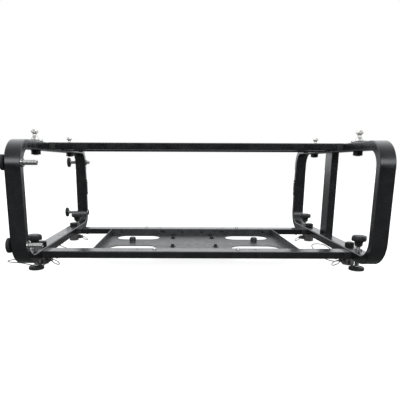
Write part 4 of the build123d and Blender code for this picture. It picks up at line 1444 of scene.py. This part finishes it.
# --- Pull rings and thumb screws ---
@dataclass
class SplitRing:
    """A two-turn split ring through a quick-release pin's eye."""

    corner: Corner
    eye_x: float = 0.5295
    pin_y: float = 0.2475
    pin_z: float = 0.019
    ring_radius: float = 0.016
    wire_radius: float = 0.00105
    coil_lift: float = 0.00058
    tilt_degrees: float = 32.7
    turns: int = 2
    first_angle: float = 0.6
    steps: int = 120

    def build(self, wardrobe: Wardrobe) -> Piece:
        """Makes the ring.

        Args:
            wardrobe: the finishes.

        Returns:
            The ring.
        """
        side = self.corner.side
        eye = Vector((HOOP_MIDDLE + side * self.eye_x, self.corner.end * self.pin_y, self.pin_z))
        tilt = math.radians(self.tilt_degrees)
        across = Vector((-side * math.cos(tilt), 0.0, -math.sin(tilt)))
        over = Vector((0.0, 1.0, 0.0))
        normal = across.cross(over).normalized()
        centre = eye + across * self.ring_radius
        path = []
        for step in range(self.steps + 1):
            share = step / self.steps
            angle = self.turns * TURN * share + self.first_angle
            lift = self.coil_lift * math.tanh((share - 0.5) * 12)
            out = across * -math.cos(angle) + over * math.sin(angle)
            path.append(centre + out * self.ring_radius + normal * lift)
        shape = Shape()
        shape.tube(path, self.wire_radius, 10)
        label = self.corner.label
        ring = shape.finish(f"split_ring_{label}", 60.0)
        return wardrobe.install(ring, Slot.PIN, f"pin_ring_{label}", f"ring_{label}")


@dataclass
class ThumbScrew:
    """A fluted thumb screw on the base tray."""

    label: str
    side: int
    out_x: float = 0.260
    y: float = 0.023
    head_base: float = 0.0377
    head_radius: float = 0.014
    tip: float = 0.022
    screw_radius: float = 0.00395
    thread_depth: float = 0.0006
    thread_pitch: float = 0.00125
    flutes: int = 8

    def build(self, wardrobe: Wardrobe) -> Piece:
        """Makes the thumb screw.

        Args:
            wardrobe: the finishes.

        Returns:
            The piece.
        """

        def fluted(radius: float, depth: float) -> Outline:
            """One fluted ring, in millimetres."""
            return lobes(radius * MM, depth * MM, self.flutes, 0.0)

        base = self.head_base
        rings: Rings = [(0, self.tip)]
        major = self.screw_radius
        rings += [(major * 0.8, self.tip), (major, self.tip + 0.0006)]
        low, high = self.tip + 0.0007, base - 0.0002
        rings += thread_rings(major, self.thread_depth, self.thread_pitch, low, high)
        head = [
            (12.0 * MM, 0.0), (13.4 * MM, 0.4), (14.0 * MM, 1.2), (14.0 * MM, 3.2),
            (fluted(14.0, 1.9), 4.4), (fluted(14.0, 1.9), 14.4), (fluted(13.4, 1.7), 16.0),
            (fluted(12.2, 1.2), 17.3), (10.4 * MM, 18.0), (6.4 * MM, 18.0), (5.8 * MM, 17.5),
            (0, 17.4),
        ]
        rings += [(radius, base + z * MM) for radius, z in head]
        shape = Shape()
        x = HOOP_MIDDLE + self.side * self.out_x
        shape.loft(rings, 64, upright(x, self.y, 0.0))
        name = f"thumb_screw_{self.label}"
        piece = shape.finish(name)
        return wardrobe.install(piece, Slot.KNOB, f"tray_knob_{self.label}", name)


def main() -> None:
    """Builds every piece in order."""
    logging.basicConfig(level=logging.INFO, format="%(name)s: %(message)s")
    StudioCamera().build()
    wardrobe = Wardrobe(EffectLibrary())
    pieces: list[Piece] = []
    for lanyard in LANYARDS:
        pieces += lanyard.build(wardrobe)
    LOG.info("CAD nodes dressed: %d", wardrobe.dress_cad())
    for screws in SCREW_SETS:
        pieces.append(screws.build(wardrobe))
    pieces.append(StackingStuds().build(wardrobe))
    for corner in Corner:
        pieces += ScrewFoot(corner).build(wardrobe)
        pieces.append(SplitRing(corner).build(wardrobe))
    for where in SideFootPlace:
        pieces += SideFoot(where).build(wardrobe)
    for label, side in (("left", -1), ("right", 1)):
        pieces.append(ThumbScrew(label, side).build(wardrobe))
    for piece in pieces:
        LOG.info("piece %s: %d faces", piece.name, len(piece.data.polygons))
    studio = Studio()
    studio.build_world()
    studio.build_floor()
    studio.build_lights()


if __name__ == "__main__":
    main()
